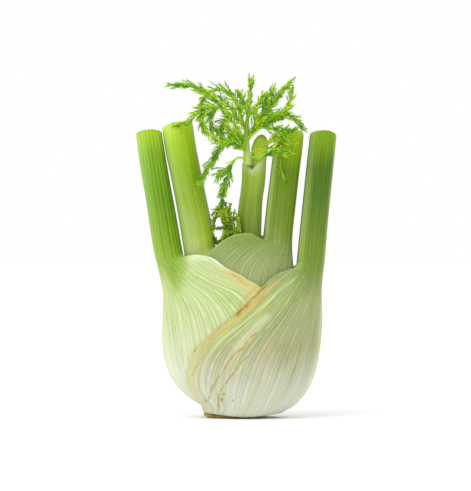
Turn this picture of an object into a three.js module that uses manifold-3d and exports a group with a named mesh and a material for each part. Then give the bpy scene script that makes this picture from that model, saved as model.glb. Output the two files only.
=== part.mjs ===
// A head of Florence fennel, in millimetres. +Z is up and the trimmed root plate stands on z = 0.
// +X is to the right of the face with the crossed sheaths, and that face looks along -Y.
//
// The head is five leaves on a short stem. Each leaf is one piece: a fleshy sheath that wraps the bulb,
// and the stalk that it narrows to. They come from the right and the left in turn, each inside the last.
// Two feathery fronds grow out of it: a spreading one at the top of the centre stalk, and a young one
// between two stalks.
import * as THREE from "three";
import { mergeVertices } from "three/addons/utils/BufferGeometryUtils.js";
import Module from "manifold-3d";

const wasm = await Module();
wasm.setup();

const RIBS = 14; // ridges across the outer face of a leaf, from one edge of its sheath to the other
const RIB_HEIGHT = 0.35;
const FACE = 1.5; // thickness of a sheath where it crosses the front and the back
const OUTER_POINTS = 2 * RIBS + 1;
const INNER_POINTS = 21;
// degrees of a stalk, each way from its rib, that the sheath's outer face becomes
const BACK_TO_STALK = 150;
const GAP = 0.35; // clearance between neighbouring pieces
// height below which a sheath's foot may hang lower in front and behind than at its sides
const SAG_END = 14;
// degrees that set how far round the stalk the sheath's inner face closes
const INNER_EDGE = 177;
const SMALLEST_STEP = 0.05; // a finer step in a surface is left out
const ROOT_POINTS = 28;

const COLOUR = {
  sheath: { color: 0xd3dfa4, roughness: 0.5 },
  stalk: { color: 0xa9c569, roughness: 0.5 },
  root: { color: 0xc7a877, roughness: 0.85 },
  frond_spreading: { color: 0x5f9a1f, roughness: 0.6 },
  frond_young: { color: 0x86a51c, roughness: 0.6 },
};

// A smooth function through a few [place, value] points, which never overshoots between them.
function through(points) {
  const steps = points.slice(1).map(([x, y], i) => (y - points[i][1]) / (x - points[i][0]));
  const slopes = points.map((_, i) => {
    const before = steps[Math.max(i - 1, 0)];
    const after = steps[Math.min(i, steps.length - 1)];
    return before * after <= 0 ? 0 : (2 * before * after) / (before + after);
  });
  return (x) => {
    if (x <= points[0][0]) return points[0][1];
    if (x >= points.at(-1)[0]) return points.at(-1)[1];
    const i = points.findIndex((p) => p[0] > x) - 1;
    const [[x0, y0], [x1, y1]] = [points[i], points[i + 1]];
    const width = x1 - x0;
    const t = (x - x0) / width;
    const rise = t * t * (3 - 2 * t);
    return (
      y0 + (y1 - y0) * rise + width * t * (1 - t) * ((1 - t) * slopes[i] - t * slopes[i + 1])
    );
  };
}

// Each leaf with a wrapping sheath, from the outermost in. side is 1 where its stalk is on the right.
// rib: [height, distance of its outer line from the axis]; far: [height, half-width on the other side];
// depth: [height, half-depth]; thick: [height, thickness at the rib];
// rows: [height at the rib, degrees that the sheath wraps each way, how much higher its edge is, share that
//   is round stalk];
// stalk: [height, radius] above the sheath;
// cut: height of the cut, and its fall per mm backwards and outwards;
// sag: how far its foot hangs down in front and behind.
const LEAVES = {
  leaf_right_outer: {
    side: 1,
    sag: 2,
    rib: [
      [3.4, 26], [8, 33.8], [12, 37.6], [20, 43], [31, 47.3], [45, 49.7], [60, 50.6], [80, 50.7],
      [96, 51.8], [131, 55], [182, 59.8],
    ],
    far: [[3.4, 24.5], [8, 28], [12, 34.5], [20, 42.3], [31, 47.4], [45, 49.9], [60, 50.6], [105, 50.6]],
    depth: [
      [3.4, 18], [6, 21], [12, 25.5], [20, 28.8], [31, 31.3], [45, 32.5], [60, 31.6], [80, 27.3],
      [96, 21.5], [105, 18.5],
    ],
    thick: [[3.4, 5], [20, 6.5], [40, 8], [60, 10], [80, 13.5], [90, 16], [98, 17.3]],
    rows: [
      [3.4, 165, 0, 0], [6, 156, 0, 0], [12, 149, 0, 0], [22, 143, 0, 0], [34, 135.5, 0, 0],
      [46, 124, 0, 0], [59, 105.5, 0, 0],
      [71, 87, 2, 0], [80, 74, 4, 0], [86, 64, 5, 0.02], [89.5, 58, 4.2, 0.25], [93.5, 56, 1.6, 0.7],
      [98, 56, 0, 1],
    ],
    stalk: [[98, 8.7], [182, 8.4]],
    cut: [182, 0.34, 0.02],
    back_wrap: 6,
  },
  leaf_left_outer: {
    side: -1,
    rib: [
      [3.6, 22.3], [6, 24], [12, 33], [16, 37.6], [20, 41.5], [24, 44.2], [31, 47.4], [43, 49.9],
      [54, 50.6], [77, 50.6], [89, 52.5], [105.6, 55.7], [131, 59.5], [151.7, 62.7], [184, 67],
    ],
    far: [
      [3.6, 20.4], [8, 27], [12, 31], [20, 35.8], [31, 39.5], [45, 41], [60, 40], [80, 36.5], [96, 34],
    ],
    depth: [
      [3.6, 16.2], [6, 18.9], [12, 23.4], [20, 26.7], [31, 29.2], [45, 30.4], [60, 29.7], [80, 25.9],
      [96, 20.4], [105, 17],
    ],
    thick: [[3.6, 5], [20, 6.5], [40, 8], [60, 10], [80, 14], [90, 17], [100, 18.2]],
    rows: [
      [3.6, 165, 0, 0], [7, 160, 0, 0], [13, 156, 0, 0], [25, 147, 0, 0], [40, 137, 0, 0],
      [52, 128, 0, 0], [64, 117, 3, 0],
      [74, 107, 9, 0], [82, 93, 6.6, 0], [89, 79, 6, 0], [94, 68, 7.6, 0], [97.5, 58, 6, 0.15],
      [100.5, 52, 2.2, 0.6], [103.5, 50, 0, 1],
    ],
    stalk: [[100, 9.1], [184, 7.9]],
    cut: [182.6, 0.3, -0.06],
    back_wrap: -9,
  },
  leaf_right_inner: {
    side: 1,
    rib: [
      [8, 24], [12, 28], [20, 33], [31, 36.5], [45, 38.3], [60, 37.5], [80, 34.5], [90, 33],
      [105, 31.6], [131, 33.5], [151.7, 35.8], [182, 39],
    ],
    far: [
      [8, 20], [12, 26.3], [20, 33.5], [31, 39], [45, 41], [60, 40], [80, 36], [96, 35], [107, 36.5],
    ],
    depth: [
      [8, 17.8], [12, 21.3], [20, 24.6], [31, 27.1], [45, 28.3], [60, 27.6], [80, 23.8], [96, 18.2],
      [104, 15.1], [107, 14.3], [114, 12.6], [119, 11.3],
    ],
    thick: [[8, 6], [20, 8], [40, 10], [60, 12], [80, 15], [90, 17], [105, 18.4]],
    rows: [
      [8, 168, 0, 0], [14, 163, 0, 0], [22, 159, 0, 0], [40, 152, 0, 0], [60, 146, 0, 0],
      [76, 141, 0, 0], [86, 139, 3, 0], [92, 133, 9, 0.03],
      [97, 122, 12.5, 0.1], [101, 107, 14.5, 0.2], [105, 90, 12, 0.38], [109, 76, 3.8, 0.64],
      [112.5, 68, 0.4, 0.88], [117, 64, 0, 1],
    ],
    stalk: [[96, 9.9], [112, 9.3], [182, 9]],
    cut: [182.6, 0.28, 0],
    back_wrap: -14,
  },
  leaf_left_inner: {
    side: -1,
    rib: [
      [8, 17.9], [12, 23], [20, 30.5], [31, 35], [45, 37.2], [60, 36.8], [80, 33.6], [90, 34], [98, 35],
      [105.6, 36.5], [121, 39], [151.7, 44.8], [177, 49.3], [188, 50.6],
    ],
    far: [
      [8, 17.2], [12, 20.5], [20, 24], [31, 26.6], [45, 27], [60, 24.6], [80, 18.7], [90, 15.2],
      [100, 12.8],
    ],
    depth: [
      [8, 15.7], [12, 19.2], [20, 22.5], [31, 25], [45, 26.2], [60, 25.5], [80, 21.7], [96, 16.1],
      [104, 12.9], [112, 11.2],
    ],
    thick: [[8, 5], [20, 8], [40, 10], [60, 12], [80, 15.5], [90, 18], [104, 20.3]],
    rows: [
      [8, 168, 0, 0], [14, 164, 0, 0], [22, 160, 0, 0], [40, 153, 0, 0], [60, 146, 0, 0],
      [76, 136, 0, 0], [88, 118, 0, 0], [95, 96, 0.5, 0],
      [100, 76, 1, 0.1], [105, 60, 1, 0.6], [111, 55, 0, 1],
    ],
    stalk: [[104, 10.2], [188, 9.7]],
    cut: [187, 0.26, -0.12],
    back_wrap: -4,
  },
};

// The centre leaf wraps nothing: [height, left, right, half-depth] of its round sections up to its mouth,
// whose front edge is notched, then the stub of its cut stalk, whose face slopes up to the back.
const CENTRE_POINTS = 30;
const CENTRE_ROWS = [
  [8, -12.2, 15.2, 13.5], [12, -16.2, 18.2, 17], [20, -21.6, 21.6, 20.2], [31, -25, 24.3, 22.6],
  [45, -25.8, 24.6, 23.8],
  [60, -24, 22.3, 23], [80, -17.2, 16.3, 19.2], [90, -15, 12.8, 15.7], [98, -13, 11, 12.5],
  [104, -9.5, 11.6, 10.2],
  [110, -4.8, 12.1, 8.7], [121, -3.8, 12.4, 8.1], [136, -1.9, 12.9, 7.8], [152, 0, 14.7, 7.6],
  [161, 0.2, 14.9, 7.6],
];
const MOUTH_NOTCH = 4; // depth of the notch, and half its width
const MOUTH_NOTCH_AT = 6.3;
const STUB_POINTS = 20;
const STUB_ROWS = [[140, 3, 12, 4.5], [156, 4.5, 14.2, 6.4], [169.5, 6.2, 16.4, 6.2]];
const STUB_SLOPE = 0.8;

// The short stem: [height, left, right, half-depth]. The head stands on the flat cut of its underside.
const ROOT_ROWS = [
  [0, -21, 12, 12], [1.2, -23.6, 15.5, 13.4], [3, -24.2, 20, 13.9], [3.05, -16.2, 18, 13.8],
  [7.6, -19.4, 23.2, 17.2],
];

// The fronds: the points that each limb passes through, its radius at its root, and its bare share.
const LIMB_TIP = 0.35;
const LEAFLET = { root_radius: 0.45, tip_radius: 0.3 };
const FRONDS = {
  frond_spreading: {
    seed: 11,
    spacing: 1.45,
    length: 6.5,
    limbs: [
      {
        points: [
          [3.6, -8.4, 160], [3.1, -8, 169], [2.8, -6, 178],
          [3.8, -3, 192], [5, 0, 204], [5.7, 2, 214],
        ],
        thick: 1.9,
        bare: 0.5,
      },
      {
        points: [
          [2.9, -7, 174], [-6.4, -9, 188], [-12.7, -10, 196.5],
          [-22, -10, 205], [-33, -9, 210], [-43.8, -8, 210.5],
        ],
        thick: 1.1,
        bare: 0.2,
      },
      {
        points: [
          [3, -6, 179], [-2, 0, 196], [-8, 5, 206],
          [-15, 8, 208.5], [-24, 10, 203], [-27, 10, 194],
        ],
        thick: 1,
        bare: 0.25,
      },
      {
        points: [
          [-13, -10, 196.5], [-20, -13, 197], [-25.4, -15, 190],
          [-23, -15, 182], [-17.1, -14, 176.2],
        ],
        thick: 0.8,
        bare: 0.1,
      },
      {
        points: [[-21, -13.4, 196.5], [-28, -16, 193], [-33, -16, 188], [-40, -15, 186]],
        thick: 0.7,
        bare: 0.1,
      },
      {
        points: [
          [3, -8, 173], [-7, -12, 175], [-14, -14, 170],
          [-19, -14, 162], [-25.4, -13, 150.8],
        ],
        thick: 0.9,
        bare: 0.2,
      },
      {
        points: [
          [3.4, -8.6, 164], [-3, -12, 164.5], [-8, -12, 156],
          [-11, -10, 146], [-12.7, -8, 136],
        ],
        thick: 0.9,
        bare: 0.2,
      },
      {
        points: [
          [2.9, -6, 177], [11.4, -4, 189], [19, -3, 199.7],
          [25.4, -2, 207], [30.5, -1, 212.5],
        ],
        thick: 1.1,
        bare: 0.15,
      },
      {
        points: [[3, -6, 176], [15, -10, 186], [24, -9, 191], [29.5, -7, 198], [31.1, -5, 206]],
        thick: 1,
        bare: 0.2,
      },
      {
        points: [
          [3, -7.4, 175], [15, -13, 187], [23, -15, 191.5],
          [31, -16, 190], [37.5, -15.5, 184],
        ],
        thick: 0.9,
        bare: 0.25,
      },
      {
        points: [[3.4, -8.2, 167], [12, -13, 171], [21.6, -15, 176], [29.2, -15.5, 174.3]],
        thick: 0.8,
        bare: 0.25,
      },
    ],
  },
  frond_young: {
    seed: 5,
    spacing: 1.2,
    length: 4.2,
    limbs: [
      {
        points: [[-13, 0, 107], [-12, -3, 114], [-11, -5, 120], [-12, -5, 127], [-12.7, -4, 137]],
        thick: 1.8,
        bare: 0.2,
      },
      {
        points: [
          [-13, 0, 107], [-16.5, -2, 112], [-18.3, -4, 117],
          [-18.2, -5, 123], [-15, -5, 132],
        ],
        thick: 1.2,
        bare: 0.2,
      },
      {
        points: [[-12, -2, 112], [-8, -5, 115], [-5, -7, 118], [-2.5, -9.5, 121], [-2.5, -10, 125]],
        thick: 1.1,
        bare: 0.2,
      },
      { points: [[-11, -4, 117], [-8, -6, 122], [-5.5, -7, 126], [-5, -7, 130]], thick: 1.1, bare: 0.2 },
      { points: [[-12, -5, 124], [-9, -5, 129], [-7.5, -5, 134]], thick: 1, bare: 0.2 },
    ],
  },
};

// A closed surface from rows of points, each row one loop, with its two ends capped. The ends of a convex
// one are capped as fans, and otherwise as the flat outline that they make seen from above.
function lofted(rows, convex = false) {
  const n = rows[0].length;
  const index = [];
  rows.slice(1).forEach((_, r) => {
    for (let i = 0; i < n; i++) {
      const [a, b] = [r * n + i, r * n + ((i + 1) % n)];
      index.push(a, b, b + n, a, b + n, a + n);
    }
  });
  const fan = Array.from({ length: n - 2 }, (_, i) => [0, i + 1, i + 2]);
  const cap = (row, first, turned) => {
    const outline = row.map((p) => new THREE.Vector2(p.x, p.y));
    const faces = convex ? fan : THREE.ShapeUtils.triangulateShape(outline, []);
    faces.forEach(([a, b, c]) => index.push(...(turned ? [a, c, b] : [a, b, c]).map((i) => i + first)));
  };
  cap(rows[0], 0, true);
  cap(rows.at(-1), (rows.length - 1) * n, false);
  return new THREE.BufferGeometry().setFromPoints(rows.flat()).setIndex(index);
}

// A closed geometry as a solid that can be joined and cut, and back again.
function solid(geometry) {
  const plain = geometry.index ? geometry.toNonIndexed() : geometry.clone();
  plain.deleteAttribute("normal");
  plain.deleteAttribute("uv");
  const merged = mergeVertices(plain, 1e-4);
  return new wasm.Manifold(
    new wasm.Mesh({
      numProp: 3,
      vertProperties: new Float32Array(merged.getAttribute("position").array),
      triVerts: new Uint32Array(merged.index.array),
    }),
  );
}

function geometryOf(made) {
  const { numProp, numVert, vertProperties, triVerts } = made.getMesh();
  const points = Array.from({ length: numVert }, (_, i) =>
    new THREE.Vector3().fromArray(vertProperties, i * numProp),
  );
  const geometry = new THREE.BufferGeometry().setFromPoints(points).setIndex([...triVerts]);
  geometry.computeVertexNormals();
  return geometry;
}

// The largest piece of a solid: what a cut leaves loose is dropped.
function whole(made) {
  return made.decompose().sort((a, b) => b.volume() - a.volume())[0];
}

const radians = THREE.MathUtils.degToRad;

// One loop of a sheathed leaf at a height on its rib. Its outer face is part of an ellipse round the bulb's
// axis, its inner face part of a smaller one, and both turn into the stalk's circle as the share of round
// stalk grows. A grown loop stands out from the leaf by the gap that its neighbours keep, with no ridges.
function leafLoop(leaf, z, grown) {
  const height = Math.min(z, leaf.neck);
  const [round, wrap, lift] = [leaf.round(height), leaf.wrap(height), leaf.lift(height)];
  const radius = leaf.radius(z) + grown;
  const [rib, far, depth] = [leaf.ribAt(z) + grown, leaf.farAt(z) + grown, leaf.depthAt(z) + grown];
  const wall = FACE + 2 * grown;
  const reach = { far: far - wall, depth: depth - wall };
  const centre = rib - radius;
  const sag = (leaf.sag ?? 0) * (1 - THREE.MathUtils.smoothstep(z, leaf.foot, SAG_END));
  const place = (u, outer) => {
    const angle = radians((wrap + (u < 0 ? leaf.back_wrap : 0)) * u) + Math.sign(u) * (grown / depth);
    const flesh = (leaf.thickAt(z) - FACE) * (1 - u ** 4);
    const [near, away] = outer ? [rib, far] : [rib - wall - flesh, reach.far];
    const side = Math.cos(angle) > 0 ? near : away;
    const inward = Math.sign(u || 1) * (180 - (INNER_EDGE - BACK_TO_STALK) * Math.abs(u));
    const turn = radians(outer ? BACK_TO_STALK * u : inward);
    const ridge = Math.abs(Math.sin((Math.PI * RIBS * (u + 1)) / 2));
    const groove = outer && !grown ? RIB_HEIGHT * (1 - ridge) : 0;
    const deep = (outer ? depth : reach.depth) - groove;
    const sheath = [(side - groove) * Math.cos(angle), deep * Math.sin(angle)];
    const stalk = [centre + (radius - groove) * Math.cos(turn), (radius - groove) * Math.sin(turn)];
    const [x, y] = sheath.map((value, i) => THREE.MathUtils.lerp(value, stalk[i], round));
    return new THREE.Vector3(leaf.side * x, -y, z + lift * u * u - sag * Math.sin(Math.PI * u) ** 2);
  };
  const steps = (count) => Array.from({ length: count }, (_, i) => (2 * i) / (count - 1) - 1);
  const loop = [
    ...steps(OUTER_POINTS).map((u) => place(u, true)),
    ...steps(INNER_POINTS).map((u) => place(-u, false)),
  ];
  return leaf.side > 0 ? loop.reverse() : loop;
}

// A leaf: the loops of its sheath, then those of its stalk up to the slanting cut.
function leafGeometry(shape, grown = 0) {
  const column = (i) => through(shape.rows.map((row) => [row[0], row[i]]));
  const leaf = {
    ...shape,
    foot: shape.rows[0][0],
    neck: shape.rows.at(-1)[0],
    ribAt: through(shape.rib),
    farAt: through(shape.far),
    depthAt: through(shape.depth),
    thickAt: through(shape.thick),
    radius: through(shape.stalk),
    wrap: column(1),
    lift: column(2),
    round: column(3),
  };
  const [top, fallBack, fallOut] = shape.cut;
  const upTheStalk = [0.35, 0.7].map((share) => THREE.MathUtils.lerp(leaf.neck, top, share));
  const rows = [...shape.rows.map((row) => row[0]), ...upTheStalk].map((z) => leafLoop(leaf, z, grown));
  const middle = shape.side * (leaf.ribAt(top) - leaf.radius(top));
  const last = leafLoop(leaf, top, grown);
  last.forEach((p) => {
    p.z = top + grown - fallBack * (p.y + leaf.radius(top)) - fallOut * (p.x - middle);
  });
  return lofted([...rows, last]);
}

// A loop of an elliptical section between left and right, grooved where ridges is true.
function roundLoop([z, left, right, depth], points, ridges, grown = 0) {
  return Array.from({ length: points }, (_, i) => {
    const angle = (2 * Math.PI * i) / points;
    const groove = ridges && !grown && i % 2 ? RIB_HEIGHT : 0;
    return new THREE.Vector3(
      (left + right) / 2 + ((right - left) / 2 + grown - groove) * Math.cos(angle),
      (depth + grown - groove) * Math.sin(angle),
      z,
    );
  });
}

// The centre leaf, with the stub of its cut stalk standing in the notched mouth at its top.
function centreSolid(grown = 0) {
  const rows = CENTRE_ROWS.map((row) => roundLoop(row, CENTRE_POINTS, true, grown));
  rows.at(-1).forEach((p) => {
    if (p.y < 0) p.z -= MOUTH_NOTCH * Math.max(0, 1 - Math.abs(p.x - MOUTH_NOTCH_AT) / MOUTH_NOTCH);
  });
  const stub = STUB_ROWS.map((row) => roundLoop(row, STUB_POINTS, false, grown));
  stub.at(-1).forEach((p) => (p.z += STUB_SLOPE * p.y));
  return solid(lofted(rows)).add(solid(lofted(stub)));
}

// A tapering limb along a smooth curve through a few points, with a few flat sides.
function limb(points, thick, thin, sides, steps) {
  const curve = new THREE.CatmullRomCurve3(points.map((p) => new THREE.Vector3(...p)));
  const frames = curve.computeFrenetFrames(steps);
  const rows = Array.from({ length: steps + 1 }, (_, r) => {
    const middle = curve.getPointAt(r / steps);
    const radius = THREE.MathUtils.lerp(thick, thin, r / steps);
    return Array.from({ length: sides }, (_, i) => {
      const angle = (2 * Math.PI * i) / sides;
      return middle
        .clone()
        .addScaledVector(frames.normals[r], radius * Math.cos(angle))
        .addScaledVector(frames.binormals[r], radius * Math.sin(angle));
    });
  });
  return { curve, body: solid(lofted(rows, true)) };
}

// A thread leaflet: a three-sided spike that leaves its limb at a forward slant.
function leaflet(root, direction, length) {
  const side = new THREE.Vector3(0, 0, 1).cross(direction).normalize();
  const rise = direction.clone().cross(side);
  const ring = (at, radius) =>
    [0, 1, 2].map((i) => {
      const angle = (2 * Math.PI * i) / 3;
      return at
        .clone()
        .addScaledVector(side, radius * Math.cos(angle))
        .addScaledVector(rise, radius * Math.sin(angle));
    });
  const tip = root.clone().addScaledVector(direction, length);
  return solid(lofted([ring(root, LEAFLET.root_radius), ring(tip, LEAFLET.tip_radius)], true));
}

// A seeded source of numbers between 0 and 1, so that every build draws the same leaflets.
function seeded(seed) {
  let state = seed;
  return () => {
    state = (Math.imul(state, 1664525) + 1013904223) >>> 0;
    return state / 2 ** 32;
  };
}

const GOLDEN_ANGLE = Math.PI * (3 - Math.sqrt(5));

// A frond: its limbs, and leaflets that stand out all round each limb from where it is bare to its tip.
function frond({ seed, limbs, spacing, length }) {
  const random = seeded(seed);
  const pieces = limbs.flatMap(({ points, thick, bare = 0 }) => {
    const steps = 2 * points.length;
    const { curve, body } = limb(points, thick, LIMB_TIP, 4, steps);
    const reach = curve.getLength();
    const count = Math.floor((reach * (1 - bare)) / spacing);
    const leaflets = Array.from({ length: count }, (_, i) => {
      const along = bare + ((1 - bare) * (i + 0.6)) / count;
      const forward = curve.getTangentAt(along);
      const out = new THREE.Vector3(0.3, 0.2, 1).cross(forward).normalize();
      out.applyAxisAngle(forward, i * GOLDEN_ANGLE + 0.4 * random());
      const slant = radians(28 + 22 * random());
      const direction = forward.multiplyScalar(Math.cos(slant)).addScaledVector(out, Math.sin(slant));
      const shorter = 1 - 0.35 * along ** 3;
      return leaflet(curve.getPointAt(along), direction, length * shorter * (0.75 + 0.5 * random()));
    });
    return [body, ...leaflets];
  });
  return wasm.Manifold.union(pieces);
}

const part = new THREE.Group();

function add(name, made, look) {
  const tidied = whole(made).asOriginal().simplify(SMALLEST_STEP);
  const mesh = new THREE.Mesh(geometryOf(tidied), new THREE.MeshStandardMaterial(look));
  mesh.name = name;
  part.add(mesh);
}

// From the outermost leaf in, each piece is cut clear of every piece inside it.
const grownLeaves = Object.values(LEAVES).map((leaf) => solid(leafGeometry(leaf, GAP)));
const grownCentre = centreSolid(GAP);

const plate = lofted(ROOT_ROWS.map((row) => roundLoop(row, ROOT_POINTS, false)));
add("root_plate", solid(plate), COLOUR.root);
Object.entries(LEAVES).forEach(([name, leaf], i) => {
  const inside = [...grownLeaves.slice(i + 1), grownCentre];
  const clear = inside.reduce((made, piece) => made.subtract(piece), solid(leafGeometry(leaf)));
  add(name, clear, COLOUR.sheath);
});
add("leaf_centre", centreSolid(), COLOUR.stalk);
for (const [name, shape] of Object.entries(FRONDS)) {
  const leaves = [...grownLeaves, grownCentre];
  const clear = leaves.reduce((made, piece) => made.subtract(piece), frond(shape));
  add(name, clear, COLOUR[name]);
}

export default part;
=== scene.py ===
"""A trimmed head of Florence fennel, standing on its root plate in a plain pale studio.

The head is five leaves, each one piece of sheath and stalk, nested round a short stem, with two feathery fronds.
Sizes are in millimetres in the classes, as the real head is measured, and become metres when a mesh is made.
+Z is up, +X is to the right of the face with the crossed sheaths, and that face looks along -Y.
"""

import logging
import math
from dataclasses import dataclass, field
from enum import Enum

import bpy
import numpy as np
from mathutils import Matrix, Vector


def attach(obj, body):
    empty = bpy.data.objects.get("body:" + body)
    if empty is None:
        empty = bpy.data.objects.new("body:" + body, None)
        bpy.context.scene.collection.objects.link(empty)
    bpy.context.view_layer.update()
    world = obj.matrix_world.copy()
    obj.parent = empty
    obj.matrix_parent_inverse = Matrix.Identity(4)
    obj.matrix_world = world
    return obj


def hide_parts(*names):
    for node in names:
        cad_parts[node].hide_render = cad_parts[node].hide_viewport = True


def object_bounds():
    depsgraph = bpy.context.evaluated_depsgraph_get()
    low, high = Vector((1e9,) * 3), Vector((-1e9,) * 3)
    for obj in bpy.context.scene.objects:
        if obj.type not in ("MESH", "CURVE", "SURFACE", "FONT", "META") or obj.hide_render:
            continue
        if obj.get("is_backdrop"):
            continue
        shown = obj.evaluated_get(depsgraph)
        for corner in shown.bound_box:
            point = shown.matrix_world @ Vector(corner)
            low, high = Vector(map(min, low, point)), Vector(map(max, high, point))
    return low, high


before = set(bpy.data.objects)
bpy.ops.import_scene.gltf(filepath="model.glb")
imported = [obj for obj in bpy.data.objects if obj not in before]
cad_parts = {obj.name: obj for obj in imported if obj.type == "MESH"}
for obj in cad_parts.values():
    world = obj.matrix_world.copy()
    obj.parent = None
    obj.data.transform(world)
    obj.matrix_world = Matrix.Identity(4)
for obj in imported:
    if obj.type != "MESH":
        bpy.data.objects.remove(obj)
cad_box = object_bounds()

log = logging.getLogger("fennel")

MM = 0.001
BODY = "root"

PHOTO_SIZE = (471, 491)
MM_PER_PIXEL = 0.635
AXIS_PIXEL = 242.0
GROUND_PIXEL = 417.5

Point = tuple[float, float]
Place = tuple[float, float, float]
Colour = tuple[float, float, float]


def linear(red: int, green: int, blue: int) -> Colour:
    """Turn a colour on the 0 to 255 screen scale into linear light.

    Args:
        red: The red part, 0 to 255.
        green: The green part.
        blue: The blue part.

    Returns:
        The three linear parts, 0 to 1, by the screen's own curve.
    """
    parts = np.array([red, green, blue]) / 255
    low, high = parts / 12.92, ((parts + 0.055) / 1.055) ** 2.4
    return tuple(float(part) for part in np.where(parts <= 0.04045, low, high))


def smooth(low: float, high: float, value: np.ndarray) -> np.ndarray:
    """Rise from 0 at low to 1 at high with level ends: t squared times (3 - 2 t)."""
    t = np.clip((value - low) / (high - low), 0, 1)
    return t * t * (3 - 2 * t)


def bell(value: np.ndarray, width: float) -> np.ndarray:
    """Fall from 1 at zero to nothing a few widths away: e to the minus (value / width) squared."""
    return np.exp(-((value / width) ** 2))


class Course:
    """A smooth course through a few (place, value) points, which never overshoots between them."""

    def __init__(self, points: list[Point]) -> None:
        """Keep the points, with a slope at each: the harmonic mean of its two steps, or 0 at a turn.

        Args:
            points: The (place, value) points, in order.
        """
        self.places, self.values = np.array(points, float).T
        steps = np.diff(self.values) / np.diff(self.places)
        before, after = np.append(steps[0], steps), np.append(steps, steps[-1])
        same_way = before * after > 0
        self.slopes = np.where(same_way, 2 * before * after / np.where(same_way, before + after, 1), 0)

    def __call__(self, place: np.ndarray) -> np.ndarray:
        """Read the cubic that meets both ends of its stretch at their values and slopes.

        Args:
            place: Where to read it. Past an end, the value is the end's.

        Returns:
            The values there, in the shape of place.
        """
        place = np.clip(place, self.places[0], self.places[-1])
        i = np.clip(np.searchsorted(self.places, place, side="right") - 1, 0, len(self.places) - 2)
        width = self.places[i + 1] - self.places[i]
        t = (place - self.places[i]) / width
        ends = self.values[i] + (self.values[i + 1] - self.values[i]) * t * t * (3 - 2 * t)
        return ends + width * t * (1 - t) * ((1 - t) * self.slopes[i] - t * self.slopes[i + 1])


def ripple(across: np.ndarray, along: np.ndarray, seed: int, waves: int = 6) -> np.ndarray:
    """Make a gentle seeded unevenness: the mean of a few slanting sine waves.

    Args:
        across: First coordinate, in wavelengths of about one unit.
        along: Second coordinate, likewise.
        seed: Which unevenness.
        waves: How many waves are summed.

    Returns:
        Values about zero, mostly within 1, in the coordinates' common shape.
    """
    rng = np.random.default_rng(seed)
    total = 0.0
    for _ in range(waves):
        turn, pace, phase = rng.uniform(0, math.tau), rng.uniform(0.5, 1.6), rng.uniform(0, math.tau)
        total = total + np.sin(math.tau * pace * (across * math.cos(turn) + along * math.sin(turn)) + phase)
    return total * math.sqrt(2 / waves) * 0.6


def unit(vectors: np.ndarray) -> np.ndarray:
    """Scale vectors along the last axis to length 1."""
    return vectors / np.maximum(np.linalg.norm(vectors, axis=-1, keepdims=True), 1e-9)


def grid_normals(points: np.ndarray) -> np.ndarray:
    """Work out a grid's normals: the cross product of its slopes along columns and rows, made a unit."""
    down, across = np.gradient(points, axis=0), np.gradient(points, axis=1)
    return unit(np.cross(across, down))


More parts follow.
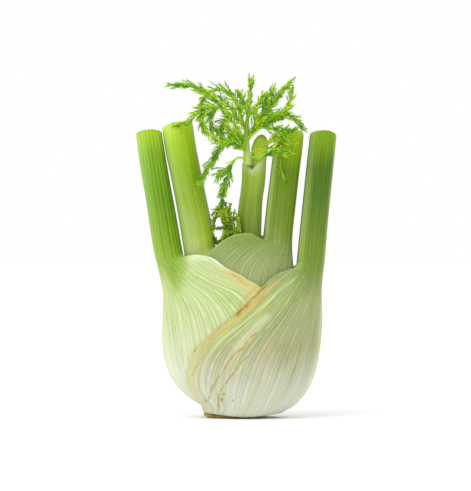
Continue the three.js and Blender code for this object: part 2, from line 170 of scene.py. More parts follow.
@dataclass
class Skin:
    """A closed surface before it becomes a mesh: points in millimetres, faces, and values at the points."""

    points: list[np.ndarray] = field(default_factory=list)
    faces: list[list[int]] = field(default_factory=list)
    marks: dict[str, list[np.ndarray]] = field(default_factory=dict)

    def count(self) -> int:
        """Count the points that it holds so far."""
        return sum(len(block) for block in self.points)

    def add_points(self, points: np.ndarray, marks: dict[str, np.ndarray]) -> int:
        """Add a block of points with their values.

        Args:
            points: The points, in any shape that ends in 3.
            marks: Values for each point, by name.

        Returns:
            The number of the first point.
        """
        first = self.count()
        flat = points.reshape(-1, 3)
        self.points.append(flat)
        for name, values in marks.items():
            full = np.broadcast_to(values, points.shape[:-1]).reshape(-1)
            self.marks.setdefault(name, []).append(full)
        return first

    def add_loops(self, points: np.ndarray, marks: dict[str, np.ndarray]) -> int:
        """Add rows of closed loops, joined by four-sided faces.

        Args:
            points: A grid of rows by columns by 3, whose last column meets its first.
            marks: Values for each point, by name.

        Returns:
            The number of the first point.
        """
        first = self.add_points(points, marks)
        rows, columns = points.shape[:2]
        number = first + np.arange(rows * columns).reshape(rows, columns)
        right = np.roll(number, -1, axis=1)
        quads = np.stack([number[:-1], right[:-1], right[1:], number[1:]], axis=-1)
        self.faces.extend(quads.reshape(-1, 4).tolist())
        return first

    def cap(self, loop: np.ndarray, middle: np.ndarray, marks: dict[str, float], at_start: bool) -> None:
        """Close a loop with a fan of triangles round a middle point.

        Args:
            loop: The numbers of the loop's points.
            middle: The middle point.
            marks: Its values, by name.
            at_start: Whether the loop is the first row of a grid, and not the last.
        """
        centre = self.add_points(middle.reshape(1, 3), {name: np.array([v]) for name, v in marks.items()})
        after = np.roll(loop, -1)
        fan = np.stack([after, loop] if at_start else [loop, after], axis=-1)
        self.faces.extend([[a, b, centre] for a, b in fan.tolist()])

    def cap_both(
        self, first: int, grid: np.ndarray, starts: dict[str, float], ends: dict[str, float], sink: float = 0.0
    ) -> None:
        """Close both ends of a grid of loops at the middles of its first and last loops.

        Args:
            first: The number of the grid's first point.
            grid: The grid of points.
            starts: Values of the first middle point, by name.
            ends: Values of the last one.
            sink: How far the last one lies under its loop.
        """
        rows, columns = grid.shape[:2]
        loop = np.arange(columns)
        self.cap(first + loop, grid[0].mean(axis=0), starts, at_start=True)
        self.cap(first + (rows - 1) * columns + loop, grid[-1].mean(axis=0) - [0, 0, sink], ends, at_start=False)

    def volume(self) -> float:
        """Sum a sixth of each face's corner products.

        Returns:
            The volume, which is below zero if the faces point inwards.
        """
        points = np.concatenate(self.points)
        total = 0.0
        for size in {len(face) for face in self.faces}:
            corners = points[np.array([face for face in self.faces if len(face) == size])]
            for i in range(1, size - 1):
                total += np.einsum("ij,ij->", corners[:, 0], np.cross(corners[:, i], corners[:, i + 1]))
        return total / 6

    def build(self, name: str, material: bpy.types.Material) -> bpy.types.Object:
        """Make the object, with its faces pointing outwards, and smooth shading.

        Args:
            name: The piece's name.
            material: Its finish.

        Returns:
            The object, at the origin, with its place in its mesh.
        """
        if self.volume() < 0:
            self.faces = [face[::-1] for face in self.faces]
        mesh = bpy.data.meshes.new(name)
        mesh.from_pydata(np.concatenate(self.points) * MM, [], self.faces)
        for mark, blocks in self.marks.items():
            layer = mesh.attributes.new(mark, "FLOAT", "POINT")
            layer.data.foreach_set("value", np.concatenate(blocks).astype(np.float32))
        mesh.polygons.foreach_set("use_smooth", np.ones(len(mesh.polygons), bool))
        mesh.materials.append(material)
        piece = bpy.data.objects.new(name, mesh)
        bpy.context.scene.collection.objects.link(piece)
        return piece


class Wire:
    """A shader value that takes part in sums, so that shader maths reads as Python."""

    def __init__(self, bench: "Bench", socket: bpy.types.NodeSocket | None) -> None:
        """Wrap one output socket of a bench's tree."""
        self.bench, self.socket = bench, socket

    def _math(self, operation: str, first: object, second: object) -> "Wire":
        """Add one Math node and wrap what it gives."""
        return self.bench.node("ShaderNodeMath", {"operation": operation}, {0: first, 1: second})

    def __add__(self, other: object) -> "Wire":
        """Add."""
        return self._math("ADD", self, other)

    def __radd__(self, other: object) -> "Wire":
        """Add, the other way round."""
        return self._math("ADD", other, self)

    def __sub__(self, other: object) -> "Wire":
        """Subtract."""
        return self._math("SUBTRACT", self, other)

    def __rsub__(self, other: object) -> "Wire":
        """Subtract from a number."""
        return self._math("SUBTRACT", other, self)

    def __mul__(self, other: object) -> "Wire":
        """Multiply."""
        return self._math("MULTIPLY", self, other)

    def __rmul__(self, other: object) -> "Wire":
        """Multiply, the other way round."""
        return self._math("MULTIPLY", other, self)

    def __truediv__(self, other: object) -> "Wire":
        """Divide."""
        return self._math("DIVIDE", self, other)

    def __pow__(self, other: object) -> "Wire":
        """Raise to a power."""
        return self._math("POWER", self, other)

    def wave(self) -> "Wire":
        """Read a wave of length 1 that is 1 at whole numbers and 0 halfway: (1 + cos(tau x)) / 2."""
        return self.bench.node("ShaderNodeMath", {"operation": "COSINE"}, {0: self * math.tau}) * 0.5 + 0.5

    def between(self, low: float, high: float) -> "Wire":
        """Rise smoothly from 0 to 1, or fall where low is the greater.

        Args:
            low: Where it is 0.
            high: Where it is 1.

        Returns:
            The share.
        """
        ends = {1: low, 2: high, 3: 0.0, 4: 1.0} if low < high else {1: high, 2: low, 3: 1.0, 4: 0.0}
        return self.bench.node("ShaderNodeMapRange", {"interpolation_type": "SMOOTHSTEP"}, {0: self, **ends})


class Bench:
    """One material's node tree, and the few tools that build it."""

    def __init__(self, name: str) -> None:
        """Start an empty material.

        Args:
            name: The material's name.
        """
        self.material = bpy.data.materials.new(name)
        self.material.use_nodes = True
        self.tree = self.material.node_tree
        self.tree.nodes.clear()

    def node(self, kind: str, settings: dict[str, object], sockets: dict[object, object], out: object = 0) -> Wire:
        """Add a node: its settings first, then the value or link of each of its sockets.

        Args:
            kind: The node's type.
            settings: Its own settings, such as a Math node's operation or a ramp's stops.
            sockets: A number, colour or Wire for each input, by name or place.
            out: Which output to return.

        Returns:
            The output, as a Wire, which holds nothing for a node without outputs.
        """
        made = self.tree.nodes.new(kind)
        for key, value in settings.items():
            if key == "stops":
                self._set_stops(made.color_ramp, value)
            else:
                setattr(made, key, value)
        for key, value in sockets.items():
            if isinstance(value, Wire):
                self.tree.links.new(value.socket, made.inputs[key])
            else:
                made.inputs[key].default_value = value
        return Wire(self, made.outputs[out] if made.outputs else None)

    @staticmethod
    def _set_stops(ramp: bpy.types.ColorRamp, stops: list[tuple[float, Colour]]) -> None:
        """Give a colour ramp its stops, joined by straight runs.

        Args:
            ramp: The ramp.
            stops: A place from 0 to 1 and a colour for each stop, in order.
        """
        ramp.interpolation = "LINEAR"
        while len(ramp.elements) < len(stops):
            ramp.elements.new(1.0)
        for element, (place, colour) in zip(ramp.elements, stops):
            element.position = place
            element.color = (*colour, 1.0)

    def mark(self, name: str) -> Wire:
        """Read one of the piece's own point values."""
        return self.node("ShaderNodeAttribute", {"attribute_name": name}, {}, "Fac")

    def place(self) -> Wire:
        """Read the place on the object, in metres."""
        return self.node("ShaderNodeTexCoord", {}, {}, "Object")

    def vector(self, x: object, y: object, z: object = 0.0) -> Wire:
        """Join three values in a vector."""
        return self.node("ShaderNodeCombineXYZ", {}, {0: x, 1: y, 2: z})

    def noise(self, vector: Wire, scale: float, detail: float = 3.0, roughness: float = 0.55) -> Wire:
        """Read a noise between 0 and 1, whose grains are about 1 / scale across."""
        sockets = {"Vector": vector, "Scale": scale, "Detail": detail, "Roughness": roughness}
        return self.node("ShaderNodeTexNoise", {}, sockets, "Fac")

    def ramp(self, share: Wire, stops: list[tuple[float, Colour]]) -> Wire:
        """Read a colour from stops along a share of 0 to 1."""
        return self.node("ShaderNodeValToRGB", {"stops": stops}, {0: share}, "Color")

    def mix(self, share: object, first: object, second: object, blend: str = "MIX") -> Wire:
        """Mix two colours.

        Args:
            share: How much of the second there is.
            first: The colour underneath.
            second: The colour laid over it.
            blend: How they are mixed.

        Returns:
            The mixed colour.
        """
        first, second = (c if isinstance(c, Wire) else (*c, 1.0) for c in (first, second))
        settings = {"data_type": "RGBA", "blend_type": blend, "clamp_factor": True}
        return self.node("ShaderNodeMix", settings, {0: share, 6: first, 7: second}, 2)

    def bump(self, height: Wire, distance: float, strength: float = 1.0) -> Wire:
        """Turn a height of 0 to 1 into a normal, with that real relief in metres."""
        sockets = {"Height": height, "Distance": distance, "Strength": strength}
        return self.node("ShaderNodeBump", {}, sockets, "Normal")

    def surface(
        self, colour: object, roughness: object, normal: Wire | None, fixed: dict[str, object]
    ) -> bpy.types.Material:
        """Finish the material with one principled surface.

        Args:
            colour: The base colour.
            roughness: The roughness.
            normal: The normal, or None.
            fixed: Sockets that are the same all over, by name.

        Returns:
            The material.
        """
        sockets = {"Base Color": colour, "Roughness": roughness, **fixed}
        if normal is not None:
            sockets["Normal"] = normal
        shader = self.node("ShaderNodeBsdfPrincipled", {}, sockets)
        self.node("ShaderNodeOutputMaterial", {}, {"Surface": shader})
        return self.material


FULL_RISE = 220.0
CLOUD_GRAIN, BRUISE_GRAIN, FLECK_GRAIN, PORE_GRAIN = 60.0, 360.0, 850.0, 900.0
FIBRE_GRAIN, PITH_GRAIN, THREAD_GRAIN, STRAND_GRAIN = 620.0, 240.0, 150.0, 1500.0
ROOT_COARSE, ROOT_FINE, FLOOR_GRAIN = 160.0, 900.0, 3.0
SKIN_RELIEF, CUT_RELIEF, STRAND_RELIEF, ROOT_RELIEF = 0.0003, 0.0002, 0.0001, 0.0008
CLOUD_SHIFT, STREAK_SHIFT = 14.0, 10.0
VEIN_NARROW, HAIR_NARROW, GROOVE_NARROW = 9.0, 5.0, 4.0

LUSH, GROOVE_SHADE, FLUTE_SHADE = linear(206, 228, 150), linear(182, 204, 134), linear(132, 178, 92)
# The veins' pale is partly their own colour and partly a painted highlight on the raised ribs.
VEIN_PALE_AND_HIGHLIGHT, LIP_PALE, PAPERY_AND_HIGHLIGHT = linear(244, 246, 222), linear(226, 234, 196), linear(226, 231, 206)
# A painted sheen on the stalk; the stalk's yellower, darker side is painted shade and its paler side painted light.
STALK_SHEEN, SHADED_SIDE_YELLOW, LIT_SIDE_PALE = linear(206, 232, 130), linear(241, 244, 100), linear(208, 234, 140)
# The pale of the sheath's outer flank is painted rim light.
LIT_FLANK_PALE, WARM_GREEN = linear(232, 240, 204), linear(186, 203, 104)
# Painted shade in the margin fold's groove, and a painted highlight on its ridge.
FOLD_GROOVE_SHADE, FOLD_RIDGE_HIGHLIGHT = linear(150, 186, 62), linear(238, 242, 220)
STRAW_GREEN, STRAW_BROWN, STRAW_LOW = linear(186, 186, 114), linear(196, 178, 114), linear(220, 216, 166)
TAN, HALO_TAN, BLUSH_TAN = linear(164, 132, 64), linear(204, 190, 132), linear(196, 172, 132)
BRUISE_BROWN, SPECK_DARK = linear(152, 120, 54), linear(84, 84, 40)
FIBRE_PALE, FROND_STEM = linear(212, 220, 150), linear(158, 188, 84)
ROOT_DARK, ROOT_BROWN, ROOT_TAN = linear(112, 76, 36), linear(172, 136, 82), linear(206, 186, 134)
ROOT_CUT_PALE, ROOT_CUT_TAN = linear(206, 200, 158), linear(176, 158, 104)

FLESH = {"Subsurface Weight": 0.22, "Subsurface Radius": (1.0, 1.0, 0.45), "Subsurface Scale": 0.004,
         "Specular IOR Level": 0.1, "Coat Weight": 0.03, "Coat Roughness": 0.3}


@dataclass(frozen=True)
class LeafFinish:
    """The skin of one leaf: colours up its height, and how its veins and flutes show."""

    name: str
    colours: tuple[tuple[float, Colour], ...]
    # How strong the pale veins are: partly their own colour, partly a painted highlight on the raised ribs.
    vein_pale_and_highlight: float = 0.55
    groove_dark: float = 0.7
    flute_dark: float = 0.35
    flute_pitch: float = 4.0
    # How strong the painted shade in the margin fold's groove and the painted highlight on its ridge are.
    fold: float = 0.0
    # Painted rim light on the sheath's outer flank, and painted light and shade on the stalk's sides as (start, end,
    # strength).
    lit_flank: float = 0.0
    lit_sides: tuple[tuple[float, float, float], ...] = ()
    shaded_sides: tuple[tuple[float, float, float], ...] = ()

    def make(self) -> bpy.types.Material:
        """Lay the skin's layers over each other, from the ground colour to the specks.

        Returns:
            The material.
        """
        layers = LeafLayers(self)
        layers.veins()
        layers.flutes()
        layers.sides()
        layers.flecks()
        if self.fold > 0:
            layers.folded_margin()
        return layers.surface(layers.dried())


class LeafLayers:
    """The layers of one leaf's skin, each laid over the colour that those below it give."""

    def __init__(self, finish: LeafFinish) -> None:
        """Read the leaf's marks, and the noises that several layers share.

        Args:
            finish: The leaf's own colours and strengths.
        """
        self.finish = finish
        self.bench = bench = Bench(finish.name)
        self.vein, self.rise, self.stalk = bench.mark("vein"), bench.mark("rise"), bench.mark("stalk")
        self.edge, self.place = bench.mark("edge"), bench.place()
        self.sheath = 1 - self.stalk
        self.across = self.vein * self.vein / VEINS**2
        self.streaks = self.grain(0.9, 0.03, 4.0, 0.6)
        self.broad = self.grain(0.42, 0.02, 2.0)
        self.fine = self.grain(4.0, 0.04, 2.0)
        self.cloud = bench.noise(self.place, CLOUD_GRAIN)
        self.colour = self.ground()

    def grain(self, across: float, up: float, detail: float, roughness: float = 0.55) -> Wire:
        """Read a noise drawn out along the veins, by its pace per vein and per millimetre of height."""
        return self.bench.noise(self.bench.vector(self.vein * across, self.rise * up), 1.0, detail, roughness)

    def lay(self, share: object, over: object) -> None:
        """Lay one more colour over the skin, by a share."""
        self.colour = self.bench.mix(share, self.colour, over)

    def times(self, tint: Colour) -> Wire:
        """Multiply the skin's colour by a tint."""
        return self.bench.mix(1.0, self.colour, tint, "MULTIPLY")

    def ground(self) -> Wire:
        """Read the colour by height, at a height made uneven by the cloud and the streaks.

        Returns:
            The colour.
        """
        stops = [(height / FULL_RISE, colour) for height, colour in self.finish.colours]
        height = self.rise + (self.cloud - 0.5) * CLOUD_SHIFT + (self.streaks - 0.5) * STREAK_SHIFT
        return self.bench.ramp(height / FULL_RISE, stops)

    def veins(self) -> None:
        """Lay lush patches, pale broken veins with thin ones between them, and darker grooves; the veins are partly
        their own colour and partly a painted highlight on the raised ribs, and the grooves' darkening is painted
        shade.

        The veins' pale colour and the grooves' shade are kept for the flecks, which come later.
        """
        finish = self.finish
        self.lay(self.broad.between(0.46, 0.7) * self.sheath * 0.4, self.times(LUSH))
        self.pale = self.bench.mix(0.6, self.colour, VEIN_PALE_AND_HIGHLIGHT)
        front = self.across.between(0.0, 0.16) * 0.75 + 0.25
        fading = (self.rise.between(0.0, 50.0) * 0.5 + 0.5) * (1 - self.rise.between(86.0, 106.0) * 0.65)
        shown = front * self.sheath * fading
        broken = self.grain(0.8, 0.14, 2.0).between(0.34, 0.56)
        # The pale veins are partly their own colour and partly a painted highlight on the raised ribs, stronger
        # towards the margins.
        strength = finish.vein_pale_and_highlight + 0.2 * self.across.between(0.22, 0.5)
        self.lay(self.vein.wave() ** VEIN_NARROW * broken * strength * shown, self.pale)
        thin = self.grain(1.7, 0.07, 2.0).between(0.45, 0.7)
        hair = (self.vein * 3.0 + 1.2 * self.streaks).wave() ** HAIR_NARROW
        self.lay(hair * thin * shown * (finish.vein_pale_and_highlight * 0.45), self.pale)
        # Painted shade darkens the grooves between the veins.
        self.shaded = self.times(GROOVE_SHADE)
        groove = (1 - self.vein.wave()) ** GROOVE_NARROW
        self.lay(groove * self.sheath * self.streaks.between(0.7, 0.35) * finish.groove_dark, self.shaded)

    def flutes(self) -> None:
        """Lay the dark flutes of the stalk, and a fine sheen over them."""
        flute = (1 - (self.vein / self.finish.flute_pitch).wave()) ** 2.0
        uneven = self.grain(0.35, 0.012, 3.0).between(0.25, 0.7)
        self.lay(flute * self.stalk * uneven * self.finish.flute_dark, self.times(FLUTE_SHADE))
        sheen = self.bench.mix(0.25, self.colour, STALK_SHEEN)
        self.lay(self.fine.between(0.45, 0.8) * self.stalk * 0.6, sheen)

    def sides(self) -> None:
        """Lay painted light and shade: the stalk's paler lit sides, its yellower and darker shaded sides, a paler
        outer flank of the sheath as painted rim light, and the pale lip.
        """
        # Painted shade: the stalk's shaded side is yellower and darker.
        for start, end, amount in self.finish.shaded_sides:
            side = self.across.between(start**2, end**2) * self.stalk
            self.lay(side * (0.6 + self.streaks * 0.8) * amount, self.times(SHADED_SIDE_YELLOW))
        # Painted light: the stalk's lit side is paler.
        for start, end, amount in self.finish.lit_sides:
            self.lay(self.across.between(start**2, end**2) * self.stalk * amount, LIT_SIDE_PALE)
        # Painted rim light: the sheath's outer flank is paler.
        self.lay(self.across.between(0.045, 0.0) * self.sheath * self.finish.lit_flank, LIT_FLANK_PALE)
        self.lay(self.bench.mark("lip"), LIP_PALE)

    def flecks(self) -> None:
        """Lay fine pale and dark flecks all over, and the pale places: papery dried skin, and a painted highlight on
        the top of the left outer leaf's hood.
        """
        fleck = self.bench.noise(self.place, FLECK_GRAIN, 3.0, 0.65)
        self.lay(fleck.between(0.52, 0.74) * (1 - self.stalk * 0.7) * 0.15, self.pale)
        self.lay(fleck.between(0.48, 0.28) * (1 - self.stalk * 0.4) * 0.14, self.shaded)
        # Papery pale dried skin, and on the left outer leaf's hood top a painted highlight.
        self.lay(self.bench.mark("pale") * (0.55 + self.streaks * 0.9), PAPERY_AND_HIGHLIGHT)

    def folded_margin(self) -> None:
        """Lay a warm band beside the dried margin, with painted shade in the fold's groove and a painted highlight on
        its ridge.
        """
        edge, rise = self.edge, self.rise
        warm = edge.between(24.0, 9.0) * edge.between(4.0, 8.0)
        warm = warm * rise.between(34.0, 56.0) * rise.between(92.0, 70.0)
        self.lay(warm * self.streaks.between(0.36, 0.6) * self.sheath * 0.5, WARM_GREEN)
        # Painted shade in the fold's groove.
        groove = edge.between(5.0, 6.9) * edge.between(8.4, 7.0) * self.sheath
        self.lay(groove * self.finish.fold, FOLD_GROOVE_SHADE)
        # Painted highlight on the fold's ridge.
        ridge = edge.between(8.0, 9.4) * edge.between(11.2, 9.6) * rise.between(94.0, 76.0)
        self.lay(ridge * self.finish.fold, FOLD_RIDGE_HIGHLIGHT)

    def dried(self) -> Wire:
        """Lay the straw and tan of the dried margin, and the bruises and specks over them.

        Returns:
            How dry each place is.
        """
        bench = self.bench
        grain = bench.vector(self.vein * 0.8, self.rise * 0.1, self.edge * 0.4)
        grain = bench.noise(grain, 1.0, 4.0, 0.65)
        dry = bench.mark("dry") * grain.between(0.24, 0.5)
        straw = bench.mix(self.broad.between(0.4, 0.6), STRAW_GREEN, STRAW_BROWN)
        straw = bench.mix(self.rise.between(58.0, 34.0) * 0.7, straw, STRAW_LOW)
        self.lay(dry, bench.mix(grain.between(0.58, 0.74), straw, TAN))
        self.lay(bench.mark("halo") * self.streaks.between(0.34, 0.6) * 0.8, HALO_TAN)
        self.lay(bench.mark("bruise") * bench.noise(self.place, BRUISE_GRAIN).between(0.26, 0.6), BRUISE_BROWN)
        self.lay(bench.mark("blush"), BLUSH_TAN)
        self.lay(bench.mark("speck"), SPECK_DARK)
        return dry

    def surface(self, dry: Wire) -> bpy.types.Material:
        """Finish the skin with its roughness and its fine relief.

        Args:
            dry: How dry each place is, which makes it rougher.

        Returns:
            The material.
        """
        roughness = 0.36 + 0.12 * self.cloud + 0.25 * dry
        height = self.fine * 0.5 + self.streaks * 0.3 + self.bench.noise(self.place, PORE_GRAIN, 2.0) * 0.2
        return self.bench.surface(self.colour, roughness, self.bench.bump(height, SKIN_RELIEF, 0.5), FLESH)


@dataclass(frozen=True)
class CutFinish:
    """A cut face: moist pale pith inside a greener rim, dotted with the ends of the fibres."""

    name: str
    pith: Colour
    rim: Colour

    def make(self) -> bpy.types.Material:
        """Build the cut face, whose colour goes from rim to pith with the depth mark.

        Returns:
            The material.
        """
        bench = Bench(self.name)
        depth, place = bench.mark("depth"), bench.place()
        cells = {"Vector": place, "Scale": FIBRE_GRAIN}
        dots = bench.node("ShaderNodeTexVoronoi", {}, cells, "Distance").between(0.32, 0.12)
        cloud = bench.noise(place, PITH_GRAIN)
        colour = bench.mix(depth.between(0.02, 0.35), self.rim, self.pith)
        colour = bench.mix(dots * 0.4, colour, FIBRE_PALE)
        normal = bench.bump(dots * 0.6 + cloud * 0.4, CUT_RELIEF, 0.7)
        return bench.surface(colour, 0.4 + 0.15 * cloud, normal, FLESH)


@dataclass(frozen=True)
class FrondFinish:
    """The green of a frond: darker at the root of each thread, lighter and yellower at its tip."""

    name: str
    dark: Colour
    mid: Colour
    light: Colour

    def make(self) -> bpy.types.Material:
        """Build the green, from each thread's own tone and the way along it.

        Returns:
            The material.
        """
        bench = Bench(self.name)
        tone, along, place = bench.mark("tone"), bench.mark("along"), bench.place()
        cloud = bench.noise(place, THREAD_GRAIN, 2.0)
        share = tone * 0.6 + along * 0.2 + (cloud - 0.5) * 1.2 + 0.1
        colour = bench.ramp(share, [(0.0, self.dark), (0.45, self.mid), (1.0, self.light)])
        colour = bench.mix(bench.mark("stem"), colour, FROND_STEM)
        normal = bench.bump(bench.noise(place, STRAND_GRAIN, 2.0), STRAND_RELIEF, 0.4)
        fixed = {"Subsurface Weight": 0.15, "Subsurface Radius": (0.6, 1.0, 0.2), "Subsurface Scale": 0.002}
        return bench.surface(colour, 0.45 + 0.1 * cloud, normal, fixed)


@dataclass(frozen=True)
class RootFinish:
    """The trimmed root: a fibrous cut in tan and brown, ringed with dry skin."""

    name: str = "root_cut"

    def make(self) -> bpy.types.Material:
        """Build the root's brown, mottled by two noises.

        Returns:
            The material.
        """
        bench = Bench(self.name)
        place = bench.place()
        coarse, fine = bench.noise(place, ROOT_COARSE, 4.0), bench.noise(place, ROOT_FINE)
        browns = [(0.3, ROOT_DARK), (0.5, ROOT_BROWN), (0.7, ROOT_TAN)]
        colour = bench.ramp(coarse * 0.7 + fine * 0.3, browns)
        flesh = bench.mix(fine.between(0.3, 0.7), ROOT_CUT_PALE, ROOT_CUT_TAN)
        colour = bench.mix(bench.mark("flesh") * coarse.between(0.3, 0.5), colour, flesh)
        normal = bench.bump(coarse * 0.5 + fine * 0.5, ROOT_RELIEF)
        return bench.surface(colour, 0.8 + 0.1 * fine, normal, {"Specular IOR Level": 0.3})


class Side(Enum):
    """The side of the head that a leaf's stalk stands on."""

    RIGHT = 1
    LEFT = -1


FACE = 1.5
BACK_TO_STALK = 150.0
VEINS = 37
SAMPLES_PER_VEIN = 6
INNER_STEP = 12
SAG_END = 14.0
LIP_STEPS = 3
LIP_REACH = 1.2
BULB_LOOPS = 104
STALK_LOOPS = 34
RIM = (0.985, 0.95, 0.85, 0.65, 0.4, 0.18)
RIM_DROP, CUT_DROP, TOP_DROP = 0.8, 0.9, 0.6
EDGE_SLANT = 0.8
FAR_FROM_EDGE = 50.0
STREAK_MARKS = ("pale", "bruise", "halo", "blush", "speck")
VEIN_WIDTH, RIB_HEIGHT, UNEVEN_HEIGHT, CREASE_WIDTH = 0.22, 0.16, 0.5, 4.5
FOLD_RIDGE, FOLD_GROOVE = (9.5, 1.6), (6.8, 1.2)

Section = tuple[float, float, float, float]


@dataclass(frozen=True)
class Streak:
    """A mark on the front of a leaf: points (right, up) in millimetres, a half-width and a strength."""

    mark: str
    points: tuple[Point, ...]
    width: float
    strength: float = 1.0

    def on(self, right: np.ndarray, up: np.ndarray) -> np.ndarray:
        """Read the mark's strength from the distance to its line, a bell as wide as the streak.

        Args:
            right: Places to the right of the axis.
            up: Heights.

        Returns:
            The strength at each place.
        """
        places = np.stack([right, up], axis=-1)
        nearest = np.full(right.shape, np.inf)
        ends = np.array(self.points, float)
        for start, end in zip(ends, ends[1:] if len(ends) > 1 else ends):
            run = end - start
            share = np.clip(((places - start) @ run) / max(run @ run, 1e-9), 0, 1)
            gap = np.linalg.norm(places - start - share[..., None] * run, axis=-1)
            nearest = np.minimum(nearest, gap)
        return self.strength * bell(nearest, self.width)


@dataclass
class WrappedLeaf:
    """A leaf whose sheath wraps the bulb and narrows to a stalk.

    Each loop of it is at one height on its rib, the line down the middle of its back. The sheath's outer face is part
    of an ellipse round the axis, from one margin to the other, and its inner face part of a smaller one. Both turn
    into the stalk's circle as the share of round stalk grows from 0 to 1.
    """

    name: str
    node: str
    side: Side
    rib: list[Point]
    far: list[Point]
    depth: list[Point]
    thick: list[Point]
    rows: list[Section]
    stalk: list[Point]
    cut: tuple[float, float, float]
    back_wrap: float
    skin: LeafFinish
    cut_skin: CutFinish
    seed: int
    sag: float = 0.0
    vein_relief: float = 0.3
    flute_relief: float = 0.3
    lip_light: float = 0.15
    crease: float = 0.0
    crease_angle: float = 50.0
    crease_span: Point = (70.0, 102.0)
    wing_drop: float = 0.0
    tongue: float = 0.0
    spread: list[Point] = field(default_factory=lambda: [(0.0, 1.0), (200.0, 1.0)])
    flute_pitch: float = 4.0
    dry_strip: list[Point] = field(default_factory=lambda: [(0.0, 0.0), (200.0, 0.0)])
    dry_width: float = 5.0
    margin_fold: float = 0.0
    streaks: tuple[Streak, ...] = ()

    def __post_init__(self) -> None:
        """Make the smooth courses that the loops are read from."""
        self.rib_at, self.far_at, self.depth_at = Course(self.rib), Course(self.far), Course(self.depth)
        self.thick_at, self.radius_at = Course(self.thick), Course(self.stalk)
        heights = [row[0] for row in self.rows]
        self.wrap_at, self.lift_at, self.round_at = (
            Course(list(zip(heights, [row[i] for row in self.rows]))) for i in (1, 2, 3)
        )
        self.neck = heights[-1]

    def heights(self) -> np.ndarray:
        """List the loops' heights: close together round the bulb, and further apart up the stalk.

        Returns:
            The heights, from the foot to the cut.
        """
        bulb = np.linspace(self.rows[0][0], self.neck + 6, BULB_LOOPS)
        stalk = np.linspace(self.neck + 6, self.cut[0], STALK_LOOPS)[1:]
        return np.concatenate([bulb, stalk])

    def place(self, z: np.ndarray, u: np.ndarray, outer: bool) -> np.ndarray:
        """Work out points of the leaf's outer or inner face.

        The sheath's point is (radius times cos, half-depth times sin) of the wrap angle times u, the stalk's is on its
        circle, and the share of round stalk mixes them. Margins stand higher by the lift times u squared.

        Args:
            z: Heights on the rib, as a column.
            u: Place across the leaf, from -1 at the back margin to 1 at the front one, as a row.
            outer: Whether it is the outer face.

        Returns:
            A grid of points, rows by columns by 3.
        """
        low = np.minimum(z, self.neck)
        wrap, lift, share = self.wrap_at(low), self.lift_at(low), self.round_at(low)
        rib, far, depth, radius = self.rib_at(z), self.far_at(z), self.depth_at(z), self.radius_at(z)
        centre = rib - radius
        angle = np.radians((wrap + np.where(u < 0, self.back_wrap, 0)) * u)
        flesh = (self.thick_at(z) - FACE) * (1 - u**4)
        near, away, deep = (rib, far, depth) if outer else (rib - FACE - flesh, far - FACE, depth - FACE)
        reach = np.where(np.cos(angle) > 0, near, away)
        turned = BACK_TO_STALK * u if outer else np.where(u < 0, -1, 1) * (180 - (177 - BACK_TO_STALK) * np.abs(u))
        turn = np.radians(turned)
        x = (1 - share) * reach * np.cos(angle) + share * (centre + radius * np.cos(turn))
        y = (1 - share) * deep * np.sin(angle) + share * radius * np.sin(turn)
        top, fall_back, fall_out = self.cut
        climb = np.clip((z - self.neck) / (top - self.neck), 0, 1) ** 2
        slant = fall_back * (radius - y) + self.side.value * fall_out * (x - centre)
        sag = self.sag * (1 - smooth(self.rows[0][0], SAG_END, z)) * np.sin(math.pi * u) ** 2
        up = z + lift * u * u - sag - climb * slant
        return np.stack([self.side.value * x, -y, np.broadcast_to(up, x.shape)], axis=-1)

    def vein_at(self, z: np.ndarray, u: np.ndarray) -> np.ndarray:
        """Count veins from the rib, with uneven gaps between them: two sine waves are added to an even count.

        Where the spread is below 1, the outer veins run out over the margin, so the others lean over further.

        Args:
            z: Heights on the rib, as a column.
            u: Place across the leaf, as a row.

        Returns:
            The number of each point's vein, with its part of the gap to the next.
        """
        even = VEINS * u * Course(self.spread)(z)
        return even + 0.26 * np.sin(2.1 * even + 1) + 0.2 * np.sin(0.77 * even + 2)

    def angle(self, z: np.ndarray, u: np.ndarray) -> np.ndarray:
        """Give the wrap angle of each point from the rib, in degrees, which is above 0 on the front."""
        return (self.wrap_at(np.minimum(z, self.neck)) + np.where(u < 0, self.back_wrap, 0)) * u

    def relief(self, z: np.ndarray, u: np.ndarray, edge: np.ndarray) -> np.ndarray:
        """Raise the veins and flutes, and a soft unevenness, out of the outer face.

        A vein is a narrow bell at each whole number of veins. Flutes are a longer wave that grows on the stalk. The
        margin may have a fold: a groove with a ridge beside it, at set distances from the edge.

        Args:
            z: Heights on the rib, as a column.
            u: Place across the leaf, as a row.
            edge: Distance of each point from its margin.

        Returns:
            How far each point stands out, in millimetres.
        """
        vein = self.vein_at(z, u)
        share = self.round_at(np.minimum(z, self.neck))
        rng = np.random.default_rng(self.seed)
        index = np.rint(vein).astype(int)
        strength = (0.25 + 1.1 * rng.random(2 * VEINS + 7) ** 1.7)[index + VEINS + 3]
        strength = strength * (0.75 + 0.45 * ripple(index * 0.37, z / 30, self.seed + 1))
        ridge = bell(vein - index, VEIN_WIDTH) * strength * self.vein_relief * (1 - 0.75 * share)
        ribs = RIB_HEIGHT * ripple(vein / 4.5 + 0 * z, z / 160, self.seed + 2) * (1 - 0.5 * share)
        flutes = (0.5 + 0.5 * np.cos(math.tau * vein / self.flute_pitch)) * self.flute_relief * share
        uneven = UNEVEN_HEIGHT * ripple(u * 2.2 + z * 0.01, z / 48, self.seed) * (1 - 0.5 * share)
        window = smooth(self.crease_span[0], self.crease_span[1] - 8, z) * (1 - smooth(*self.crease_span, z) ** 3)
        crease = -self.crease * bell(self.angle(z, u) - self.crease_angle, CREASE_WIDTH) * window
        ridges = bell(edge - FOLD_RIDGE[0], FOLD_RIDGE[1]) - 1.2 * bell(edge - FOLD_GROOVE[0], FOLD_GROOVE[1])
        fold = self.margin_fold * ridges * (1 - share)
        fade = smooth(self.rows[0][0], self.rows[0][0] + 12, z) * smooth(0.0, 1.5, edge)
        return (ridge + ribs + flutes + fold) * fade + uneven + crease

